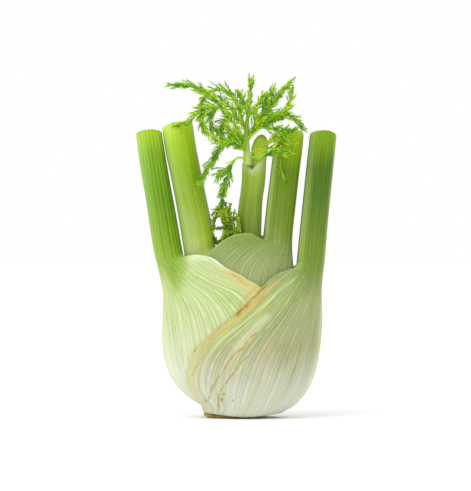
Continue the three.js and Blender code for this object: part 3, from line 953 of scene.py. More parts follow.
    def marks(self, z: np.ndarray, u: np.ndarray, points: np.ndarray, edge: np.ndarray) -> dict[str, np.ndarray]:
        """Work out the values that the finish reads at each point.

        Args:
            z: Heights on the rib, as a column.
            u: Place across the leaf, as a row.
            points: The points themselves.
            edge: Distance of each point from its margin.

        Returns:
            The values, by name.
        """
        share = self.round_at(np.minimum(z, self.neck)) + 0 * u
        dry = Course(self.dry_strip)(points[..., 2]) * (1 - smooth(0.6 * self.dry_width, 1.5 * self.dry_width, edge))
        angle = np.abs(self.angle(z, u))
        wing = smooth(0.94 * self.crease_angle, 1.16 * self.crease_angle, angle) * (1 - share)
        tongue = self.tongue * bell(angle - 0.74 * self.crease_angle, 8) * (1 - share) * smooth(66, 90, z)
        found = {
            "vein": self.vein_at(z, u),
            "rise": points[..., 2] - self.wing_drop * wing * smooth(76, 98, points[..., 2]) + tongue,
            "stalk": np.maximum(share, smooth(self.neck - 16, self.neck + 4, z) * smooth(20, 60, edge)),
            "edge": edge,
            "dry": dry * (points[..., 1] < 5),
            "lip": (1 - smooth(0.2, 0.9, edge)) * (1 - share) * (1 - np.clip(dry * 1.6, 0, 1)) * self.lip_light,
        }
        front = points[..., 1] < 0
        for mark in STREAK_MARKS:
            made = [streak.on(points[..., 0], points[..., 2]) for streak in self.streaks if streak.mark == mark]
            found[mark] = np.clip(sum(made), 0, 1) * front if made else np.zeros(front.shape)
        return found

    def edge_distance(self, outer: np.ndarray) -> np.ndarray:
        """Measure along each loop to the nearer margin, less a share for the margin's slant.

        Args:
            outer: A grid of points, rows by columns by 3.

        Returns:
            The distance of each point.
        """
        step = np.linalg.norm(np.diff(outer, axis=1), axis=-1)
        run = np.concatenate([np.zeros((len(outer), 1)), np.cumsum(step, axis=1)], axis=1)
        return EDGE_SLANT * np.minimum(run, run[:, -1:] - run)

    def build(self) -> list[bpy.types.Object]:
        """Make the leaf's closed skin and its cut face, and put them on the head.

        Returns:
            The pieces.
        """
        columns = 2 * VEINS * SAMPLES_PER_VEIN + 1
        u = np.linspace(-1, 1, columns)[None, :]
        inner_u = u[:, ::INNER_STEP][:, ::-1]
        z = self.heights()[:, None]
        outer = self.place(z, u, True)
        edge = self.edge_distance(outer)
        out = grid_normals(outer) * -self.side.value
        outer = outer + out * self.relief(z, u, edge)[..., None]
        inner = self.place(z, inner_u, False)
        share = self.round_at(np.minimum(z, self.neck))[..., None]
        lips = [
            self.lip(outer[:, -1], outer[:, -4], inner[:, 0], share),
            self.lip(outer[:, 0], outer[:, 3], inner[:, -1], share)[:, ::-1],
        ]
        loops = np.concatenate([outer, lips[0], inner, lips[1]], axis=1)
        front, blank = np.ones((1, LIP_STEPS)), np.zeros((len(z), LIP_STEPS))
        loop_u = np.concatenate([u, front, inner_u, -front], axis=1)
        loop_edge = np.concatenate([edge, blank, self.edge_distance(inner), blank], axis=1)
        skin = Skin()
        first = skin.add_loops(loops, self.marks(z, loop_u, loops, loop_edge))
        self.close_foot(skin, first, columns, inner_u.shape[1])
        last = first + (len(z) - 1) * loops.shape[1] + np.arange(loops.shape[1])
        top = loops[-1].mean(axis=0)
        skin.cap(last, top - [0, 0, TOP_DROP], dict.fromkeys(skin.marks, 0.0), at_start=False)
        leaf = skin.build(self.name, self.skin.make())
        face = cut_face(self.name + "_cut", loops[-1], self.cut_skin.make(), self.seed)
        for piece in (leaf, face):
            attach(piece, BODY)
        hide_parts(self.node)
        return [leaf, face]

    @staticmethod
    def lip(edge: np.ndarray, back: np.ndarray, inside: np.ndarray, share: np.ndarray) -> np.ndarray:
        """Round a margin off with half a circle from the outer face to the inner one.

        Args:
            edge: The outer face's last points.
            back: Points a little before them, which give the way that the face runs.
            inside: The inner face's points across from them.
            share: How much of the loop is round stalk, where the lip closes up.

        Returns:
            The points between the two faces, rows by steps by 3.
        """
        middle, half = (edge + inside) / 2, (edge - inside) / 2
        size = np.linalg.norm(half, axis=-1, keepdims=True)
        onward = unit(edge - back) * np.minimum(size, LIP_REACH) * (1 - share[:, 0])
        turns = math.pi * np.arange(1, LIP_STEPS + 1) / (LIP_STEPS + 1)
        return np.stack([middle + half * math.cos(t) + onward * math.sin(t) for t in turns], axis=1)

    @staticmethod
    def close_foot(skin: Skin, first: int, columns: int, inner_columns: int) -> None:
        """Close the foot of the sheath with faces from its outer edge to its inner edge.

        Args:
            skin: The leaf's skin.
            first: The number of the first loop's first point.
            columns: How many points its outer edge has.
            inner_columns: How many its inner edge has.
        """
        start = first + columns + LIP_STEPS
        total = columns + inner_columns + 2 * LIP_STEPS
        for i in range(inner_columns - 1):
            outer = [first + i * INNER_STEP + k for k in range(INNER_STEP + 1)]
            inside = [start + inner_columns - 2 - i, start + inner_columns - 1 - i]
            skin.faces.append(outer[::-1] + inside[::-1])
        skin.faces.append([first + columns - 1 + k for k in range(LIP_STEPS + 2)][::-1])
        skin.faces.append([first, *[first + total - LIP_STEPS - 1 + k for k in range(LIP_STEPS + 1)]][::-1])


def cut_face(name: str, rim: np.ndarray, material: bpy.types.Material, seed: int) -> bpy.types.Object:
    """Make a cut face as a thin closed disc: rings drawn in towards the middle of a stalk's last loop.

    A ring is the loop drawn in by a share, and stands higher by (1 - share squared) / 2 and a ripple.

    Args:
        name: The piece's name.
        rim: The last loop's points.
        material: The finish.
        seed: Which unevenness.

    Returns:
        The piece.
    """
    middle, loop = rim.mean(axis=0), np.arange(len(rim))
    under = middle + (rim - middle) * 0.93 - [0, 0, RIM_DROP]
    rings = [under]
    for share in RIM:
        ring = middle + (rim - middle) * share
        ring[:, 2] += 0.25 * ripple(ring[:, 0] / 9, ring[:, 1] / 9, seed) + 0.5 * (1 - share**2)
        rings.append(ring)
    depth = np.array([0.0, *(1 - share for share in RIM)])
    skin = Skin()
    first = skin.add_loops(np.stack(rings), {"depth": depth[:, None]})
    skin.cap(first + loop, middle - [0, 0, CUT_DROP], {"depth": 0.0}, at_start=True)
    last = first + len(RIM) * len(rim) + loop
    skin.cap(last, rings[-1].mean(axis=0), {"depth": 1.0}, at_start=False)
    return skin.build(name, material)


@dataclass
class CentreLeaf:
    """The innermost leaf with a full stalk, whose notched mouth holds the stub of its cut stalk.

    Its sections are (height, left, right, half-depth). Its mouth turns in by the shares and rises of mouth_turn, and
    mouth_light says how pale each step of that turn is.
    """

    name: str = "fennel_leaf_centre"
    node: str = "leaf_centre"
    columns: int = 300
    ribs: int = 40
    rib_height: float = 0.12
    unevenness: float = 0.3
    seed: int = 31
    rows: tuple[Section, ...] = (
        (8, -12.2, 15.2, 13.5), (12, -16.2, 18.2, 17), (20, -21.6, 21.6, 20.2), (31, -25, 24.3, 22.6),
        (45, -25.8, 24.6, 23.8), (60, -24, 22.3, 23), (80, -17.2, 16.3, 19.2), (90, -15, 12.8, 15.7),
        (98, -13, 11, 12.5), (104, -9.5, 11.6, 10.2), (110, -4.8, 12.1, 8.7), (121, -3.8, 12.4, 8.1),
        (136, -1.9, 12.9, 7.8), (152, 0, 14.7, 7.6), (161, 0.2, 14.9, 7.6),
    )
    sheath_loops: tuple[float, float, int] = (8, 120, 50)
    stalk_loops: tuple[float, float, int] = (120, 161, 46)
    mouth_turn: tuple[Point, ...] = ((0.97, 0.5), (0.92, 0.6), (0.86, 0.2), (0.83, -1.5), (0.8, -6.0))
    mouth_light: tuple[float, ...] = (0.35, 0.5, 0.4, 0.1, 0.0)
    notch: float = 4.0
    notch_at: float = 6.3
    fleck: Point = (6.0, 158.5)
    stub_columns: int = 160
    stub_ribs: int = 22
    stub_rows: tuple[Section, ...] = ((140, 3, 12, 4.5), (156, 4.5, 14.4, 6.4), (171, 6, 16.6, 6.2))
    stub_loops: int = 30
    stub_slope: float = 1.4
    stub_slant: float = 0.4
    stub_middle: float = 11.3
    skin: LeafFinish = LeafFinish(
        "centre_skin",
        ((0, linear(151, 159, 109)), (105, linear(96, 112, 56)), (124, linear(112, 132, 48)),
         (140, linear(124, 148, 48)), (151, linear(142, 168, 62)), (163, linear(168, 184, 108))),
        groove_dark=0.4,
        flute_dark=0.2,
        lit_sides=((0.72, 0.56, 0.25), (0.96, 1.07, 0.3)),
        shaded_sides=((0.84, 0.62, 0.6),),
    )
    cut_skin: CutFinish = CutFinish("centre_cut", linear(208, 220, 70), linear(140, 176, 50))

    def loft(self, rows: tuple[Section, ...], heights: np.ndarray, columns: int) -> np.ndarray:
        """Work out a stack of ellipses between the left, right and half-depth courses.

        A point is (middle + half-width times cos, half-depth times sin) of its turn.

        Args:
            rows: (height, left, right, half-depth) of the sections that the courses pass through.
            heights: The heights of the loops.
            columns: How many points a loop has.

        Returns:
            The grid of points.
        """
        left, right, deep = (Course([(row[0], row[i]) for row in rows])(heights)[:, None] for i in (1, 2, 3))
        turn = np.linspace(0, math.tau, columns, endpoint=False)[None, :]
        x = (left + right) / 2 + (right - left) / 2 * np.cos(turn)
        return np.stack([x, deep * np.sin(turn), heights[:, None] + 0 * x], axis=-1)

    def marks(
        self, grid: np.ndarray, vein: np.ndarray, stalk: np.ndarray, own: dict[str, np.ndarray]
    ) -> dict[str, np.ndarray]:
        """Work out the values that the finish reads: nothing is dry, and every point is far from a margin.

        Args:
            grid: The points.
            vein: The number of each column's rib.
            stalk: How much of each point is stalk.
            own: The values that are not blank, by name.

        Returns:
            The values, by name.
        """
        blank = np.zeros(grid.shape[:2])
        marks = {"vein": vein + blank, "rise": grid[..., 2], "stalk": stalk + blank, "edge": blank + FAR_FROM_EDGE}
        return {**marks, **dict.fromkeys(("dry", "lip", *STREAK_MARKS), blank), **own}

    def build(self) -> list[bpy.types.Object]:
        """Make the stalk with its mouth, and the stub in it.

        Returns:
            The pieces.
        """
        foot, top = self.rows[0][0], self.rows[-1][0]
        heights = np.concatenate([np.linspace(*self.sheath_loops), np.linspace(*self.stalk_loops)[1:]])
        up = heights[:, None]
        grid = self.loft(self.rows, heights, self.columns)
        turn = np.linspace(0, math.tau, self.columns, endpoint=False)[None, :]
        vein = turn / math.tau * self.ribs
        relief = self.rib_height * np.cos(math.tau * vein) + self.unevenness * ripple(turn, up / 40, self.seed)
        grid = grid + grid_normals(grid) * (relief * smooth(foot, 20, up))[..., None]
        dip = np.maximum(0, 1 - np.abs(grid[..., 0] - self.notch_at) / self.notch) ** 0.8
        grid[..., 2] -= smooth(140, top, up) ** 2 * self.notch * dip * (grid[..., 1] < 0)
        rim, flat = grid[-1], np.array([1, 1, 0])
        middle = rim.mean(axis=0)
        inside = [
            middle * flat + (rim - middle) * flat * share + (1 - flat) * (rim[:, 2:] + rise)
            for share, rise in self.mouth_turn
        ]
        whole = np.concatenate([grid, np.stack(inside)])
        light = np.concatenate([smooth(154, top, heights) * 0.3, self.mouth_light])[:, None]
        spot = np.hypot(whole[..., 0] - self.fleck[0], whole[..., 2] - self.fleck[1])
        own = {"lip": light + 0 * spot, "speck": bell(spot, 0.8) * (whole[..., 1] < 0)}
        skin = Skin()
        marks = self.marks(whole, vein, smooth(95, 115, whole[..., 2]), own)
        zeros = dict.fromkeys(marks, 0.0)
        skin.cap_both(skin.add_loops(whole, marks), whole, zeros, zeros)
        stalk = skin.build(self.name, self.skin.make())
        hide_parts(self.node)
        pieces = [stalk, *self.stub()]
        for piece in pieces:
            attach(piece, BODY)
        return pieces

    def stub(self) -> list[bpy.types.Object]:
        """Make the stub of the cut stalk and its slanting face.

        Returns:
            The two pieces.
        """
        foot, top = self.stub_rows[0][0], self.stub_rows[-1][0]
        heights = np.linspace(foot, top, self.stub_loops)
        grid = self.loft(self.stub_rows, heights, self.stub_columns)
        tilt = self.stub_slope * grid[..., 1] + self.stub_slant * (grid[..., 0] - self.stub_middle)
        grid[..., 2] += smooth(148, top, heights)[:, None] * tilt
        vein = np.linspace(0, self.stub_ribs, self.stub_columns, endpoint=False)[None, :]
        grid = grid + grid_normals(grid) * (self.rib_height * np.cos(math.tau * vein))[..., None]
        skin = Skin()
        marks = self.marks(grid, vein, np.ones((1, 1)), {})
        zeros = dict.fromkeys(marks, 0.0)
        skin.cap_both(skin.add_loops(grid, marks), grid, zeros, zeros, TOP_DROP)
        face = cut_face(self.name + "_cut", grid[-1], self.cut_skin.make(), self.seed + 2)
        return [skin.build(self.name + "_stub", self.skin.make()), face]


@dataclass
class RootPlate:
    """The short stem, trimmed flat underneath, with a ragged dry edge."""

    name: str = "fennel_root_plate"
    node: str = "root_plate"
    columns: int = 180
    loops: int = 33
    raggedness: float = 0.5
    seed: int = 51
    rows: tuple[Section, ...] = (
        (0, -21, 12, 12), (1.2, -23.6, 15.5, 13.4), (3, -24.2, 20, 13.9), (3.05, -16.2, 18, 13.8),
        (7.6, -19.4, 23.2, 17.2),
    )

    def build(self) -> list[bpy.types.Object]:
        """Make the plate as loops from its underside up, ragged by a fine unevenness.

        A point is (middle + (half-width + ragged) times cos, (half-depth + ragged) times sin) of its turn, and the
        sizes run straight from one section to the next.

        Returns:
            The piece, in a list.
        """
        table = np.array(self.rows)
        steps = np.linspace(0, len(table) - 1, self.loops)
        z, left, right, deep = (np.interp(steps, np.arange(len(table)), table[:, i])[:, None] for i in range(4))
        turn = np.linspace(0, math.tau, self.columns, endpoint=False)[None, :]
        ragged = ripple(turn * 4, z / 2, self.seed, waves=10) * self.raggedness * smooth(0, 0.8, z)
        x = (left + right) / 2 + ((right - left) / 2 + ragged) * np.cos(turn)
        y = (deep + ragged) * np.sin(turn)
        grid = np.stack([x, y, z + 0 * x], axis=-1)
        skin = Skin()
        first = skin.add_loops(grid, {"flesh": smooth(-6, 3, x)})
        skin.cap_both(first, grid, {"flesh": 0.5}, {"flesh": 1.0})
        plate = skin.build(self.name, RootFinish().make())
        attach(plate, BODY)
        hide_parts(self.node)
        return [plate]


STEPS_PER_KNOT = 40


@dataclass(frozen=True)
class Limb:
    """One limb of a frond: the points it passes through, its radius at the root, its bare share, and its fullness."""

    points: tuple[Place, ...]
    thick: float
    bare: float = 0.0
    full: float = 1.0

    def sample(self, count: int) -> np.ndarray:
        """Read points evenly spaced along a smooth curve through the limb's own points.

        Each stretch is the cubic that meets its two ends with the slopes there.

        Args:
            count: How many points.

        Returns:
            The points, in millimetres.
        """
        knots = np.array(self.points, float)
        run = np.append(0, np.cumsum(np.linalg.norm(np.diff(knots, axis=0), axis=1)))
        fine = np.linspace(0, run[-1], STEPS_PER_KNOT * len(knots))
        slopes = np.gradient(knots, run, axis=0)
        i = np.clip(np.searchsorted(run, fine, side="right") - 1, 0, len(run) - 2)
        width = (run[i + 1] - run[i])[:, None]
        t = (fine[:, None] - run[i][:, None]) / width
        rise = t * t * (3 - 2 * t)
        pull = width * t * (1 - t) * ((1 - t) * slopes[i] - t * slopes[i + 1])
        curve = knots[i] + (knots[i + 1] - knots[i]) * rise + pull
        length = np.append(0, np.cumsum(np.linalg.norm(np.diff(curve, axis=0), axis=1)))
        even = np.linspace(0, length[-1], count)
        return np.stack([np.interp(even, length, curve[:, k]) for k in range(3)], axis=-1)


GOLDEN_TURN = math.pi * (3 - math.sqrt(5))
SPINE_STEPS = 60
STEM_SIDES, THREAD_SIDES = 10, 3
BRANCHLET_RINGS, LOBE_RINGS = 4, 3
FIRST_LOBE, LOBE_RUN = 0.22, 0.68
SHADY_BELOW = (140.0, 178.0)
LENGTHS, LOBE_LENGTHS = (0.55, 1.35), (0.7, 1.25)
STEM_TONE, STEM_TIP = 0.6, 0.3
SCATTER, LOBE_SCATTER, LOBE_LIFT = 0.35, 0.3, 0.5
LOBE_THIN, THREAD_TAPER, THREAD_TIP = 0.82, 0.6, 0.8


@dataclass
class Frond:
    """A feathery frond: limbs, branchlets that stand out all round them, and thread lobes on each branchlet."""

    name: str
    node: str
    slot: str
    limbs: tuple[Limb, ...]
    finish: FrondFinish
    seed: int
    spacing: float
    length: float
    lobes: int = 5
    curl: float = 0.25
    thread: float = 0.36
    slant: Point = (18.0, 42.0)
    lean: Point = (22.0, 40.0)

    def build(self) -> list[bpy.types.Object]:
        """Grow the branchlets and their lobes, and make one mesh of them all.

        Returns:
            The piece, in a list.
        """
        rng = np.random.default_rng(self.seed)
        skin = Skin()
        for limb in self.limbs:
            spine = limb.sample(SPINE_STEPS)
            reach = np.linalg.norm(np.diff(spine, axis=0), axis=1).sum()
            self.add_stem(skin, spine, limb)
            count = int(reach * (1 - limb.bare) * limb.full / self.spacing)
            share = limb.bare + (1 - limb.bare) * (np.arange(count) + rng.uniform(0.2, 0.8, count)) / count
            at = np.clip(share * (SPINE_STEPS - 1), 0, SPINE_STEPS - 1.001)
            i = at.astype(int)
            roots = spine[i] + (spine[i + 1] - spine[i]) * (at - i)[:, None]
            self.grow(skin, rng, roots, unit(spine[i + 1] - spine[i]), share)
        piece = skin.build(self.name, self.finish.make())
        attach(piece, BODY)
        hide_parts(self.node)
        return [piece]

    def grow(
        self, skin: Skin, rng: np.random.Generator, roots: np.ndarray, ahead: np.ndarray, share: np.ndarray
    ) -> None:
        """Grow branchlets at some roots, and lobes on each of them.

        A branchlet's way is ahead times cos + out times sin of its slant, and out turns on by the golden angle from
        each one to the next. Lobes leave it in the same way, by turns to its two sides.

        Args:
            skin: What they are added to.
            rng: The random draws, which go on from limb to limb.
            roots: Where each branchlet starts.
            ahead: The way of the limb there.
            share: How far along the limb that is.
        """
        count = len(roots)
        side = unit(np.cross(ahead, rng.normal(size=(1, 3)) * [0.3, 0.3, 1.0]))
        other = np.cross(ahead, side)
        turn = np.arange(count) * GOLDEN_TURN + rng.uniform(0, 0.6, count)
        out = side * np.cos(turn)[:, None] + other * np.sin(turn)[:, None]
        slant = np.radians(rng.uniform(*self.slant, count))[:, None]
        way = ahead * np.cos(slant) + out * np.sin(slant)
        bend = unit(ahead + rng.normal(size=(count, 3)) * SCATTER) - way
        length = self.length * (1 - 0.4 * share**3) * rng.uniform(*LENGTHS, count)
        tone = rng.uniform(0, 1, count) - 0.5 * (1 - smooth(*SHADY_BELOW, roots[:, 2]))
        radius = np.full(count, self.thread)
        self.add_threads(skin, roots, way, bend * self.curl * 2, length, radius, tone, BRANCHLET_RINGS)
        for k in range(self.lobes):
            along = FIRST_LOBE + LOBE_RUN * (k + 0.5) / self.lobes
            base = roots + (way * along + bend * self.curl * along**2) * length[:, None]
            heading = unit(way + bend * self.curl * 2 * along)
            across = unit(np.cross(heading, ahead) + rng.normal(size=(count, 3)) * LOBE_SCATTER)
            flat = np.cross(heading, across) * rng.normal(0, LOBE_LIFT, count)[:, None]
            sign = 1 if k % 2 else -1
            lean = np.radians(rng.uniform(*self.lean, count))[:, None]
            lobe = unit(heading * np.cos(lean) + (across * sign + flat) * np.sin(lean))
            lobe_length = length * (0.62 - 0.36 * along) * rng.uniform(*LOBE_LENGTHS, count)
            hook = (heading - lobe) * 0.5
            self.add_threads(skin, base, lobe, hook, lobe_length, radius * LOBE_THIN, tone, LOBE_RINGS)

    @staticmethod
    def add_threads(
        skin: Skin,
        roots: np.ndarray,
        way: np.ndarray,
        bend: np.ndarray,
        length: np.ndarray,
        radius: np.ndarray,
        tone: np.ndarray,
        rings: int,
    ) -> None:
        """Add many thin tapering three-sided threads at once.

        A thread's middle line is root + length times (way t + bend t squared / 2), and its radius falls to two fifths
        at the last ring, past which one more point closes it.

        Args:
            skin: What they are added to.
            roots: Where each starts.
            way: The way that each sets off.
            bend: How that way changes along it.
            length: Its length.
            radius: Its radius at the root.
            tone: Its own tone of green.
            rings: How many loops it has along its length.
        """
        count, sides = len(roots), THREAD_SIDES
        t = np.linspace(0, 1, rings)[None, :, None]
        line = roots[:, None] + (way[:, None] * t + bend[:, None] * t * t / 2) * length[:, None, None]
        side = unit(np.cross(way, [0.21, 0.35, 0.91]))[:, None]
        other = np.cross(way[:, None], side)
        taper = radius[:, None, None] * (1 - THREAD_TAPER * t**1.5)
        turn = math.tau * np.arange(sides) / sides
        ring = [line + taper * (side * math.cos(a) + other * math.sin(a)) for a in turn]
        points = np.stack(ring, axis=2).reshape(count, rings * sides, 3)
        tips = line[:, -1] + way * (radius * THREAD_TIP)[:, None]
        points = np.concatenate([points, tips[:, None]], axis=1)
        along = np.append(np.repeat(t.reshape(-1), sides), 1.0)[None, :]
        marks = {"tone": tone[:, None] + 0 * along, "along": along + 0 * tone[:, None], "stem": np.zeros((1, 1))}
        first = skin.add_points(points, marks)
        each = rings * sides + 1
        ring_faces = [
            [r * sides + k, r * sides + (k + 1) % sides, (r + 1) * sides + (k + 1) % sides, (r + 1) * sides + k]
            for r in range(rings - 1)
            for k in range(sides)
        ]
        end = (rings - 1) * sides
        tip_faces = [[end + k, end + (k + 1) % sides, rings * sides] for k in range(sides)]
        starts = first + each * np.arange(count)
        for pattern in (np.array(ring_faces), np.array(tip_faces), np.array([[2, 1, 0]])):
            skin.faces.extend((starts[:, None, None] + pattern).reshape(-1, pattern.shape[1]).tolist())

    @staticmethod
    def add_stem(skin: Skin, spine: np.ndarray, limb: Limb) -> None:
        """Add a limb's own stem: a ribbed round tube that tapers along its spine.

        A point is spine + radius times (side cos + other sin) of its turn, and the radius falls to the tip's with the
        way along to the power 0.7.

        Args:
            skin: What it is added to.
            spine: Points along the limb.
            limb: The limb.
        """
        sides = STEM_SIDES
        ahead = unit(np.gradient(spine, axis=0))
        side = unit(np.cross(ahead, [0.1, 1.0, 0.05]))[:, None]
        other = np.cross(ahead[:, None], side)
        turn = (math.tau * np.arange(sides) / sides)[None, :, None]
        share = np.linspace(0, 1, len(spine))[:, None, None]
        radius = (limb.thick + (STEM_TIP - limb.thick) * share**0.7) * (1 + 0.06 * np.cos(5 * turn))
        grid = spine[:, None] + radius * (side * np.cos(turn) + other * np.sin(turn))
        thickness = limb.thick * (1 - share[..., 0] ** 0.7)
        marks = {"tone": np.array([[STEM_TONE]]), "along": share[..., 0], "stem": smooth(0.5, 1.3, thickness)}
        first = skin.add_loops(grid, marks)
        ends = {"tone": STEM_TONE, "along": 0.0, "stem": 0.0}
        skin.cap(first + np.arange(sides), spine[0], ends, at_start=True)
        skin.cap(first + (len(spine) - 1) * sides + np.arange(sides), spine[-1], ends, at_start=False)


PITH = CutFinish("stalk_cut", linear(206, 220, 150), linear(150, 184, 70))

OUTER_RIGHT = WrappedLeaf(
    name="fennel_leaf_right_outer",
    node="leaf_right_outer",
    side=Side.RIGHT,
    rib=[
        (3.4, 26), (8, 33.8), (12, 37.6), (20, 43), (31, 47.3), (45, 49.7), (60, 50.6), (80, 50.7),
        (96, 51.8), (131, 55), (182, 59.8),
    ],
    far=[(3.4, 24.5), (8, 28), (12, 34.5), (20, 42.3), (31, 47.4), (45, 49.9), (60, 50.6), (105, 50.6)],
    depth=[
        (3.4, 18), (6, 21), (12, 25.5), (20, 28.8), (31, 31.3), (45, 32.5), (60, 31.6), (80, 27.3),
        (96, 21.5), (105, 18.5),
    ],
    thick=[(3.4, 5), (20, 6.5), (40, 8), (60, 10), (80, 13.5), (90, 16), (98, 17.3)],
    rows=[
        (3.4, 165, 0, 0), (6, 156, 0, 0), (12, 149, 0, 0), (22, 143, 0, 0), (34, 135.5, 0, 0),
        (46, 124, 0, 0), (59, 105.5, 0, 0), (71, 87, 2, 0), (80, 74, 4, 0), (86, 64, 5, 0.02),
        (89.5, 58, 4.2, 0.25), (93.5, 56, 1.6, 0.7), (98, 56, 0, 1),
    ],
    stalk=[(98, 8.7), (182, 8.4)],
    cut=(182, 0.34, 0.02),
    back_wrap=6,
    skin=LeafFinish(
        "right_outer_skin",
        (
            (0, linear(214, 216, 202)), (22, linear(192, 194, 176)), (45, linear(160, 161, 121)),
            (75, linear(150, 161, 106)), (95, linear(112, 134, 48)), (112, linear(102, 128, 38)),
            (140, linear(74, 108, 18)), (160, linear(72, 106, 10)), (180, linear(122, 156, 8)),
        ),
        vein_pale_and_highlight=0.3,
        groove_dark=0.4,
        flute_dark=0.25,
        fold=0.22,
        lit_flank=0.34,
        lit_sides=((0.66, 1.0, 0.4), (0.28, 0.0, 0.18)),
    ),
    cut_skin=PITH,
    seed=21,
    dry_strip=[
        (0, 0.35), (20, 0.4), (40, 0.5), (55, 0.75), (66, 1.0), (79, 1.0), (84, 0.6), (88, 0.15), (92, 0),
    ],
    dry_width=5.4,
    margin_fold=0.3,
    lip_light=0.0,
    sag=2.0,
    crease=0.7,
    crease_angle=46.5,
    crease_span=(74.0, 100.0),
    wing_drop=14.0,
    tongue=6.0,
    streaks=(
        Streak("bruise", ((9.5, 54.9), (3.8, 51.1), (1.3, 46.0), (-3.2, 42.9), (-8.3, 37.1), (-12.1, 30.2),
                          (-15.9, 25.1), (-19.1, 19.4), (-21, 12.4)), 0.6, 0.75),
        Streak("pale", ((15, 64), (9, 59), (2, 52), (-4, 45)), 2.6, 0.34),
        Streak("halo", ((9.5, 55.5), (3.8, 51.1), (-3.2, 43.5), (-10, 34), (-16.5, 24)), 1.8, 0.7),
        Streak("halo", ((3.2, 39.7), (-6.4, 28.3), (-14.6, 15.6), (-15.5, 4)), 1.6, 0.6),
        Streak("halo", ((-23.5, 41), (-27.5, 35), (-31.6, 27.5), (-30, 16), (-25, 9)), 2.0, 0.6),
        Streak("bruise", ((8.6, 56.6), (7.2, 53.4)), 0.9, 0.5),
        Streak("bruise", ((15, 84.6), (9, 78.4), (3, 72.4), (-3, 66.6)), 1.1, 0.8),
        Streak("bruise", ((3, 71), (-4, 64.5)), 1.4, 0.55),
        Streak("bruise", ((-5, 65.5), (-14, 57.5), (-21, 50)), 0.5, 0.4),
        Streak("bruise", ((-22.9, 11.4),), 0.9, 0.8),
        Streak("bruise", ((3.2, 39.7), (-1.3, 35.2), (-6.4, 28.3), (-12.1, 20.6), (-14.6, 15.6),
                          (-14.9, 5.4)), 0.45, 0.85),
        Streak("bruise", ((-23.5, 41), (-27.5, 35), (-31.6, 27.5)), 0.4, 0.6),
        Streak("bruise", ((36.2, 41.6), (34.5, 36), (31.8, 28.9)), 0.8, 0.3),
        Streak("blush", ((17.5, 46), (13, 34)), 4.0, 0.28),
        Streak("speck", ((-12.7, 12.7),), 0.75, 1.0),
        Streak("speck", ((-11.4, 16.2),), 0.6, 0.9),
        Streak("speck", ((-5.7, 12.4),), 0.6, 0.7),
        Streak("speck", ((-29.5, 43.5),), 0.5, 0.9),
    ),
)

OUTER_LEFT = WrappedLeaf(
    name="fennel_leaf_left_outer",
    node="leaf_left_outer",
    side=Side.LEFT,
    rib=[
        (3.6, 22.3), (6, 24), (12, 33), (16, 37.6), (20, 41.5), (24, 44.2), (31, 47.4), (43, 49.9),
        (54, 50.6), (77, 50.6), (89, 52.5), (105.6, 55.7), (131, 59.5), (151.7, 62.7), (184, 67),
    ],
    far=[(3.6, 20.4), (8, 27), (12, 31), (20, 35.8), (31, 39.5), (45, 41), (60, 40), (80, 36.5), (96, 34)],
    depth=[
        (3.6, 16.2), (6, 18.9), (12, 23.4), (20, 26.7), (31, 29.2), (45, 30.4), (60, 29.7), (80, 25.9),
        (96, 20.4), (105, 17),
    ],
    thick=[(3.6, 5), (20, 6.5), (40, 8), (60, 10), (80, 14), (90, 17), (100, 18.2)],
    rows=[
        (3.6, 165, 0, 0), (7, 160, 0, 0), (13, 156, 0, 0), (25, 147, 0, 0), (40, 137, 0, 0), (52, 128, 0, 0),
        (64, 117, 3, 0), (74, 107, 9, 0), (82, 93, 6.6, 0), (89, 79, 6, 0), (94, 68, 7.6, 0),
        (97.5, 58, 6, 0.15), (100.5, 52, 2.2, 0.6), (103.5, 50, 0, 1),
    ],
    stalk=[(100, 9.1), (184, 7.9)],
    cut=(182.6, 0.3, -0.06),
    back_wrap=-9,
    skin=LeafFinish(
        "left_outer_skin",
        (
            (0, linear(210, 212, 198)), (30, linear(208, 212, 190)), (60, linear(184, 196, 146)),
            (82, linear(180, 195, 134)), (97, linear(148, 174, 76)), (111, linear(124, 157, 38)),
            (140, linear(106, 148, 28)), (165, linear(118, 160, 36)), (182, linear(162, 196, 50)),
        ),
        groove_dark=0.5,
        flute_dark=0.72,
        lit_flank=0.24,
        lit_sides=((0.5, 0.1, 0.22),),
        shaded_sides=((0.45, 0.75, 0.6),),
    ),
    cut_skin=PITH,
    seed=22,
    flute_relief=0.34,
    lip_light=0.45,
    crease=0.9,
    crease_angle=47.0,
    crease_span=(68.0, 104.0),
    wing_drop=20.0,
    tongue=15.0,
    spread=[
        (3, 1), (20, 0.94), (40, 0.85), (52, 0.81), (64, 0.8), (74, 0.85), (84, 0.92), (94, 0.98), (104, 1),
    ],
    dry_strip=[(0, 0), (72, 0), (77, 0.45), (82, 0.65), (89, 0.55), (94, 0.25), (99, 0.0)],
    dry_width=6.5,
    streaks=(
        # A painted highlight on the top of the hood.
        Streak("pale", ((-31, 103), (-20, 105), (-13, 99)), 3.8, 0.55),
        Streak("halo", ((-8, 91), (-2, 86.5), (3, 82)), 2.0, 0.45),
        Streak("halo", ((-12, 95.5), (-1.5, 87), (8, 80.5)), 2.2, 0.6),
        Streak("bruise", ((-7.5, 92), (-3, 89), (3, 84.5)), 0.9, 0.5),
        Streak("halo", ((11, 84.5), (4, 78), (-3, 71)), 2.0, 0.9),
        Streak("bruise", ((10, 84.5), (3.5, 78), (-2, 71.5)), 0.9, 0.5),
        Streak("halo", ((-30, 58), (-27, 57)), 0.9, 0.4),
    ),
)

